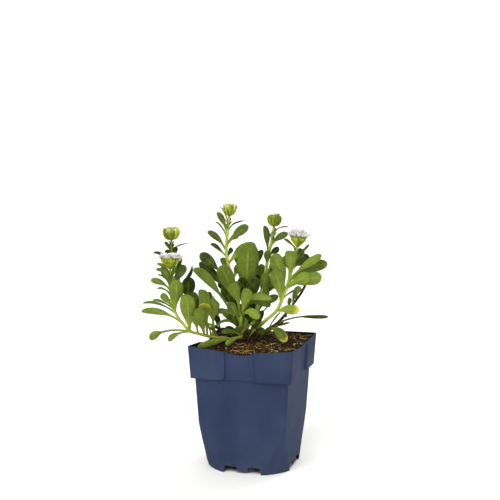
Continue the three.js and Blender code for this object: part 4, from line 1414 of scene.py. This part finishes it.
@dataclass(frozen=True)
class Studio:
    """The pale sweep, the soft lights and the camera at the photograph's angle, in metres and degrees."""

    SIDES = 96
    CURVE_STEPS = 12
    # Each soft light: name, place, side, watts, colour
    LIGHTS = (
        ("key_light", (-0.25, -1.4, 1.6), 1.2, 34.0, (1.0, 0.99, 0.96)),
        ("fill_light", (1.5, -0.8, 0.9), 1.2, 3.0, (1.0, 0.99, 0.97)),
        ("back_light", (0.5, 1.6, 1.7), 1.6, 34.0, (1.0, 1.0, 0.97)),
    )
    LIT_POINT = Vector((0, 0, 0.13))
    ROOM_COLOUR = (1.0, 0.99, 0.95, 1.0)
    ROOM_STRENGTH = 0.55
    FILM_WIDTH = 36.0

    flat_radii: tuple[float, ...] = (0.02, 0.3, 1.5)
    wall_radius: float = 2.6
    wall_height: float = 1.5
    azimuth: float = 16.2
    elevation: float = 6.26
    distance: float = 0.9
    aim_right: float = -0.00344
    aim_up: float = 0.1841
    lens: float = 76.39

    def sweep(self, paper: Material) -> None:
        """Build the floor, which rises all round far behind the part.

        Args:
            paper: its finish.
        """
        flat, sides = self.flat_radii[-1], self.SIDES
        profile = [(radius, 0.0) for radius in self.flat_radii]
        for i in range(1, self.CURVE_STEPS + 1):
            angle = math.pi / 2 * i / self.CURVE_STEPS
            out, up = (self.wall_radius - flat) * math.sin(angle), self.wall_height * (1 - math.cos(angle))
            profile.append((flat + out, up))
        points = [Vector((0, 0, 0))]
        for radius, height in profile:
            points += [spoke(AXES, FULL_TURN * j / sides, radius) + UP * height for j in range(sides)]
        faces = [(0, 1 + j, 1 + (j + 1) % sides) for j in range(sides)]
        for low in range(1, 1 + (len(profile) - 1) * sides, sides):
            for j in range(sides):
                following = (j + 1) % sides
                faces.append((low + j, low + sides + j, low + sides + following, low + following))
        mesh = bpy.data.meshes.new("studio_floor")
        mesh.from_pydata(points, [], faces)
        mesh.materials.append(paper)
        mesh.shade_smooth()
        placed("studio_floor", mesh)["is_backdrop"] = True

    def lights(self) -> None:
        """Hang the soft lights and set the room's own light."""
        for name, place, size, power, colour in self.LIGHTS:
            lamp = bpy.data.lights.new(name, "AREA")
            lamp.shape, lamp.size, lamp.energy, lamp.color = "SQUARE", size, power, colour
            thing = placed(name, lamp)
            thing.location = place
            thing.rotation_euler = (self.LIT_POINT - Vector(place)).to_track_quat("-Z", "Y").to_euler()
        room = bpy.data.worlds.new("room")
        room.use_nodes = True
        background = room.node_tree.nodes["Background"]
        background.inputs["Color"].default_value = self.ROOM_COLOUR
        background.inputs["Strength"].default_value = self.ROOM_STRENGTH
        bpy.context.scene.world = room
        bpy.context.scene.view_settings.view_transform = "Standard"

    def camera(self) -> None:
        """Set the camera where the photograph was taken from."""
        turn, tilt = math.radians(self.azimuth), math.radians(self.elevation)
        back = spoke(AXES, turn - math.pi / 2, math.cos(tilt)) + UP * math.sin(tilt)
        aim = spoke(AXES, turn, self.aim_right) + UP * self.aim_up
        eye = bpy.data.cameras.new("photo_camera")
        eye.lens, eye.sensor_width = self.lens, self.FILM_WIDTH
        thing = placed("photo_camera", eye)
        thing.location = aim + back * self.distance
        thing.rotation_euler = (-back).to_track_quat("-Z", "Y").to_euler()
        bpy.context.scene.camera = thing


# What was sighted in the photograph. A stem's first two points stand upright in its hole in the soil, its
# radius is given at the foot and at the top, and its bark ends at that place, counted in its points.
SHOOTS = (
    Shoot(
        "low_left", (1.5, 0.95), bark=1.6,
        points=(
            (-16, 7, 89), (-16, 7, 103.5), (-22, 4, 107.6), (-34, -3, 109), (-46, -9, 111.7),
            (-55, -13, 114.5), (-61, -14, 121), (-67, -15, 130), (-70.5, -15, 143), (-71.5, -15, 156),
            (-71.2, -14, 167.5),
        ),
        rows=(
            (9.6, -82, -22, 172.5, 3, 0.12, 20), (9.2, -83.5, -9, 168, 3.6, 0.15, 30),
            (8.9, -82, -23, 163, 2.6, 0.1, 50), (8.5, -79, -17, 169.5, 6, 0.06, 10),
            (8.5, -88, -15, 158.3, 5.4, 0.12, 15, 0.7), (8.2, -82, -25, 151.8, 2.4, 0.1, 55),
            (8.5, -58, -8, 171, 7.8, 0.05, 0), (9.1, -60, -3, 177, 3.2, 0.06, 40),
            (7.1, -65.5, -28, 158.5, 11.8, 0.04, 180, 0.8), (5, -57.5, -31, 146, 13, 0.03, 180, 0.86),
            (3.5, -44, -17, 152, 10.5, 0.04, 165, 0.7), (3.1, -31.5, -25, 144.5, 9.5, 0.16, 150),
            (3, -47, -21, 137.5, 7.5, 0.2, 150, 0.66, 0.8), (3.7, -48.5, -27, 134.5, 9.4, 0.04, 180, 0.85),
            (6, -96, -18, 132, 6.2, 0.1, 165), (7, -95, -9, 139, 4.6, 0.1, 48),
            (7.3, -86, -19, 142, 3, 0.05, 55), (7.3, -79.5, -22, 146.5, 6, 0.03, 170),
            (4.9, -90, -16, 109, 8, 0.09, 150, 0.3, 0.1), (4.8, -73.5, -21, 106, 5.8, 0.12, 28, 0.5),
            (3.2, -42, -18, 122, 3.4, 0.1, 60), (4.2, -51.5, -20, 128, 6.5, 0.04, 165),
            (2.8, -38, -12, 118, 4, 0.1, 140), (7.8, -74.5, -5, 139, 4.5, 0.1, 20),
            (9, -66.8, -20, 170.5, 4, 0.04, 30), (8.6, -75.7, -21, 165, 4.5, 0.06, 20),
            (8.1, -67.5, -21, 162, 4, 0.05, 150),
        ),
    ),
    Shoot(
        "high_left", (1.4, 0.9), bark=3,
        points=(
            (-16, 17, 89), (-16, 17, 105), (-25, 16, 113.5), (-36, 14, 119.5), (-46, 12, 122.5),
            (-56, 13, 132), (-63, 12, 149), (-67, 10, 167), (-69.6, 8, 184), (-70, 8, 192.5),
        ),
        rows=(
            (7.8, -75.5, 5, 191, 3.6, 0.03, 20), (7.4, -66.5, 5, 187, 5, 0.05, 25),
            (7.3, -75, 3, 184, 5, 0.08, 0), (7.9, -56.5, 11, 189, 2.6, 0.18, 65),
            (7, -85.5, 13, 183, 3.4, 0.12, 45), (5.1, -55.3, 5, 160, 12, 0.05, 0),
            (6, -51.5, 17, 170, 6, 0.02, 50), (3.6, -37, 18, 148.5, 6.5, 0.08, 10),
            (5.4, -66, 26, 155, 8.5, 0.06, 150), (6.2, -63, 24, 172, 7, 0.08, 160),
            (4.4, -52, 27, 147, 9, 0.08, 165), (2.6, -34, 26, 131, 7, 0.12, 150),
            (2.4, -33.5, 9, 127, 6, 0.12, 15), (4.2, -46, 5, 143, 8, 0.06, 0),
        ),
    ),
    Shoot(
        "mid_left", (1.6, 1.05), bark=2.2, low=8,
        points=(
            (-11.5, 14, 89), (-11.5, 14, 105), (-13, 14, 118), (-15, 12, 136), (-18, 6, 155), (-22, 4, 172),
            (-23.5, 3, 184), (-22.5, 3, 200), (-21, 3, 212.8),
        ),
        rows=(
            (7.6, -29, 10, 222, 2.3, 0.05, 70), (6.9, -30.7, -2, 216, 5.2, 0.05, 10),
            (7.5, -19.5, 8, 212, 2.6, 0.1, 40), (6.7, -32.7, 9, 208.5, 3, 0.08, 60),
            (5.9, -39, 0, 200, 5.6, 0.09, 10), (5.5, -36.8, 7, 190.2, 4, 0.04, 30),
            (6.9, -8.5, 9, 208.5, 2.4, 0.2, 65), (6.2, -5, -4, 204.5, 8, 0.07, 10),
            (6.3, -12.5, 7, 197, 5, 0.12, 20), (5.4, -18.3, 9, 186, 4.4, 0.06, 20),
            (4, -45.5, 2, 181, 9.6, 0.01, 0, 0.5), (2, -51.5, -12, 171, 9, 0.05, 160, 0.5),
            (3.4, -46.5, 13, 173.5, 8.5, 0.02, 0), (3, -28.5, -8, 171.5, 13.5, 0.03, 170, 0.8),
            (3.1, -12, -7, 158, 6.5, 0.08, 160), (5, 1.5, 10, 187, 13, 0.12, 170, 0.75),
            (4.2, -28, 26, 176, 8, 0.08, 160), (3.2, -22, 34, 160, 9, 0.1, 165),
            (2.4, -27.5, 8, 152, 8.5, 0.05, 0), (2.2, -19.5, 3, 149, 8, 0.06, 10),
            (1.6, -27, 12, 130, 6, 0.14, 10, 0.66, 0.15), (1.8, -22, 13, 137, 7, 0.06, 0),
            (1.4, -25, 10, 116.5, 5, 0.14, 15), (1.3, -17.5, 7, 127, 5, 0.05, 15),
            (3.2, -30, 22, 158, 9, 0.06, 0), (4.1, -11, 22, 172, 7.5, 0.08, 165),
        ),
    ),
    Shoot(
        "middle", (1.6, 1.2), bark=2.2, low=9,
        points=(
            (-9, 22, 89), (-9, 22, 106), (-7.5, 20, 118), (-7, 16, 140), (-7, 12, 158), (-6, 13, 170),
        ),
        rows=(
            (3, -4.7, -3, 190.5, 19.5, 0.01, 180, 0.84), (3.9, 7.5, 12, 184, 7.5, 0.06, 20),
            (4, -16, 17, 178, 6, 0.08, 20), (2.6, 2.5, 2, 159, 11, 0.06, 0),
            (2.7, -10.5, 3, 161, 10, 0.06, 0), (4.8, -3, 22, 186, 9, 0.04, 170),
            (3.4, 8, 34, 168, 9, 0.1, 165), (2.5, -10, 38, 152, 10, 0.12, 170),
            (2.2, 6, 36, 140, 8, 0.14, 160), (2.1, -3, 6, 150, 9.5, 0.05, 0),
            (1.7, -9.5, 12, 134, 8, 0.04, 0), (1.5, -2.5, 13, 128, 6.5, 0.06, 10),
            (1.8, 7.5, 19, 148, 8, 0.08, 0), (1.3, -12, 34, 130, 7, 0.14, 165),
            (3.1, 13, 22, 166, 9, 0.06, 0),
        ),
    ),
    Shoot(
        "mid_right", (1.7, 1.15), bark=2.2, low=8,
        points=(
            (-4.5, 17, 89), (-4.5, 17, 105), (-1, 16, 118), (4, 12, 138), (9, 6, 160), (12, 5, 179),
            (15, 4, 192), (16.8, 4, 204.2),
        ),
        rows=(
            (5, 9.6, 1, 204.5, 6, 0.02, 15), (5.5, 28.3, -2, 198, 6, 0.12, 10),
            (6.4, 29.2, 11, 203.7, 2.4, 0.18, 65), (4.9, 21.7, 9, 185.5, 5.4, 0.1, 10),
            (4.5, 12, 0, 183.5, 6.5, 0.04, 0), (3.1, 12, -2, 164.5, 8.5, 0.06, 175),
            (2.9, 18.5, 1, 158.5, 9.5, 0.1, 0), (3.6, 6, 4, 172, 7, 0.05, 10),
            (4.1, 22, 27, 174, 8.5, 0.1, 160), (3.3, 17, 33, 158, 9, 0.12, 165),
            (2.5, 20, 30, 144, 8, 0.14, 160), (2.3, 12.5, 5, 152, 9, 0.08, 175),
            (4, 24.5, 10, 172, 9.2, 0.06, 0), (3.4, 23.5, 12, 157, 9.2, 0.08, 0),
            (1.4, 7.5, 6, 131, 6.5, 0.06, 10),
        ),
    ),
    Shoot(
        "right", (1.7, 1.1), bark=3,
        points=(
            (-6, 6, 89), (-6, 6, 103.5), (-2.5, 3, 110.8), (4, -3, 118), (11, -8, 124.5), (18.5, -9, 131),
            (22.5, -9, 138), (25.5, -9, 146), (28.5, -8, 154), (31, -8, 163), (34, -7, 174),
            (36.7, -7, 186.5),
        ),
        rows=(
            (10.8, 25.5, -12, 193.7, 3, 0.06, 40), (8.5, 32, -18, 184.7, 10.5, 0.03, 180),
            (9.3, 41.5, -2, 185, 8, 0.06, 0), (10.1, 47.2, -4, 188.5, 3.2, 0.05, 50),
            (8.9, 25.5, 0, 179, 7.5, 0.08, 0), (8.5, 57.5, -16, 179.7, 7.5, 0.05, 160, 0.7),
            (8.2, 62.5, -9, 172, 10, 0.12, 15), (7.9, 48, -24, 160.5, 11.5, 0.06, 170, 0.75),
            (7.6, 57.7, -14, 160.5, 11.5, 0.08, 170), (6.2, 36.5, -3, 150.5, 2.6, 0.1, 70),
            (7, 15.5, -14, 181, 12.5, 0.08, 180, 0.75), (6.1, 17.5, -21, 167.5, 12, 0.08, 180, 0.8),
            (5.1, 38.7, -15, 131.8, 8.6, 0.07, 170, 0.85, 0.85), (2.1, 9, -12, 119.5, 4, 0.1, 120),
            (1.8, 1, -14, 113.5, 5, 0.1, 150), (9.4, 44, 1, 177, 9, 0.05, 0),
            (8.6, 46.5, 3, 166, 9, 0.06, 10), (2, 9, -6, 115, 5.5, 0.12, 20),
        ),
    ),
    Shoot(
        "woody", (1.5, 0.9), bark=8, low=5,
        points=(
            (-1, 11, 89), (-1, 11, 103.8), (9.5, 10, 114.3), (19, 8, 120.5), (27, 9, 129), (33, 10, 137),
            (40, 11, 147), (44, 12, 154.5), (46, 13, 163),
        ),
        rows=(
            (4.4, 30.5, 6, 143, 4.5, 0.06, 30), (5, 35.5, 8, 149.5, 5, 0.04, 150),
            (2.9, 63, 5, 124.8, 6.6, 0.1, 50, 0.5), (3.7, 28, 4, 127.8, 2.4, 0.02, 40),
            (6.8, 50, 6, 171.5, 9, 0.08, 0), (7.4, 53, 13, 178, 8, 0.08, 10),
            (7.7, 43, 16, 181, 7, 0.06, 10), (6.2, 54, 24, 163, 9, 0.12, 160),
            (2.5, 27.3, -3, 104.8, 8.8, 0.12, 0, 0.92, 0.9), (5.4, 38, 27, 152, 8, 0.12, 160),
        ),
    ),
    Shoot(
        "front", (1.6, 1.2), bark=1.7,
        points=(
            (-11, 3, 89), (-11, 3, 103.5), (-11.3, 1, 111), (-11.3, -3, 119), (-10.7, -7, 126.5),
            (-10, -9, 131),
        ),
        rows=(
            (4.6, -4.5, -19, 151, 9.8, 0.04, 180, 0.75), (4.7, 15, -13, 141.5, 7.5, 0.3, 150),
            (4.4, 14, -10, 135.5, 7, 0.34, 20), (4.2, 4, -17, 124.5, 8.5, 0.3, 170, 0.8),
            (3.4, -20.5, -20, 155.5, 10.5, 0.1, 180, 0.5), (2.2, -31.5, -13, 120.5, 5, 0.22, 60),
            (3.6, -34.5, -2, 131, 5, 0.14, 20), (2, -13.5, -18, 118.5, 6.5, 0, 180, 0.7),
            (1.7, -24.5, -12, 102, 5, 0.06, 165, 0.66, 0.15),
            (1.8, -48.5, -16, 100.8, 6.2, 0.01, 160, 0.66, 0.1), (2, 3, -12, 123.5, 3.6, 0.06, 170, 0.4),
            (1.9, -27.5, -9, 113.5, 4.5, 0.12, 30), (3, -22.5, -13, 140, 6.5, 0.06, 170),
            (1.6, -15.5, -7, 128, 4.6, 0.04, 10), (1.5, -5.5, -8, 126, 5, 0.05, 165),
        ),
    ),
)

HEADS = (
    Head("low_left", 18.0, 8.8, HeadForm.OPEN, 22, 0.3, crown=(22.8, 3.8)),
    Head("high_left", 15.2, 10.6, HeadForm.DOME, 21, 0.45),
    Head("mid_left", 13.2, 10.0, HeadForm.BOWL, 17, 0.5),
    Head("mid_right", 12.6, 9.6, HeadForm.DOME, 18, 0.1, 0.75),
    Head("right", 15.4, 8.4, HeadForm.OPEN, 20, 0.3, crown=(19.6, 6.2)),
)


def record_size() -> None:
    """Find the solids' box and the finished model's box."""
    boxes = {
        name: [[float(value) for value in corner] for corner in box]
        for name, box in (("cad", CAD_BOX), ("visual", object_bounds()))
    }


def main() -> None:
    """Build every piece in order, then the studio."""
    logging.basicConfig(level=logging.INFO, format="%(message)s")
    Pot().build(PotPlastic().make())
    Soil().build(PottingMix().make(), FibreSkin().make())
    leaf_skin, stem_skin, bud_skin, petal_skin = (
        finish.make() for finish in (LeafSkin(), StemSkin(), BudSkin(), PetalSkin())
    )
    lines = {shoot.name: shoot.build(leaf_skin, stem_skin) for shoot in SHOOTS}
    for head in HEADS:
        head.build(lines[head.shoot], bud_skin, petal_skin)
    studio = Studio()
    studio.sweep(FloorPaper().make())
    studio.lights()
    studio.camera()
    record_size()


if __name__ == "__main__":
    main()
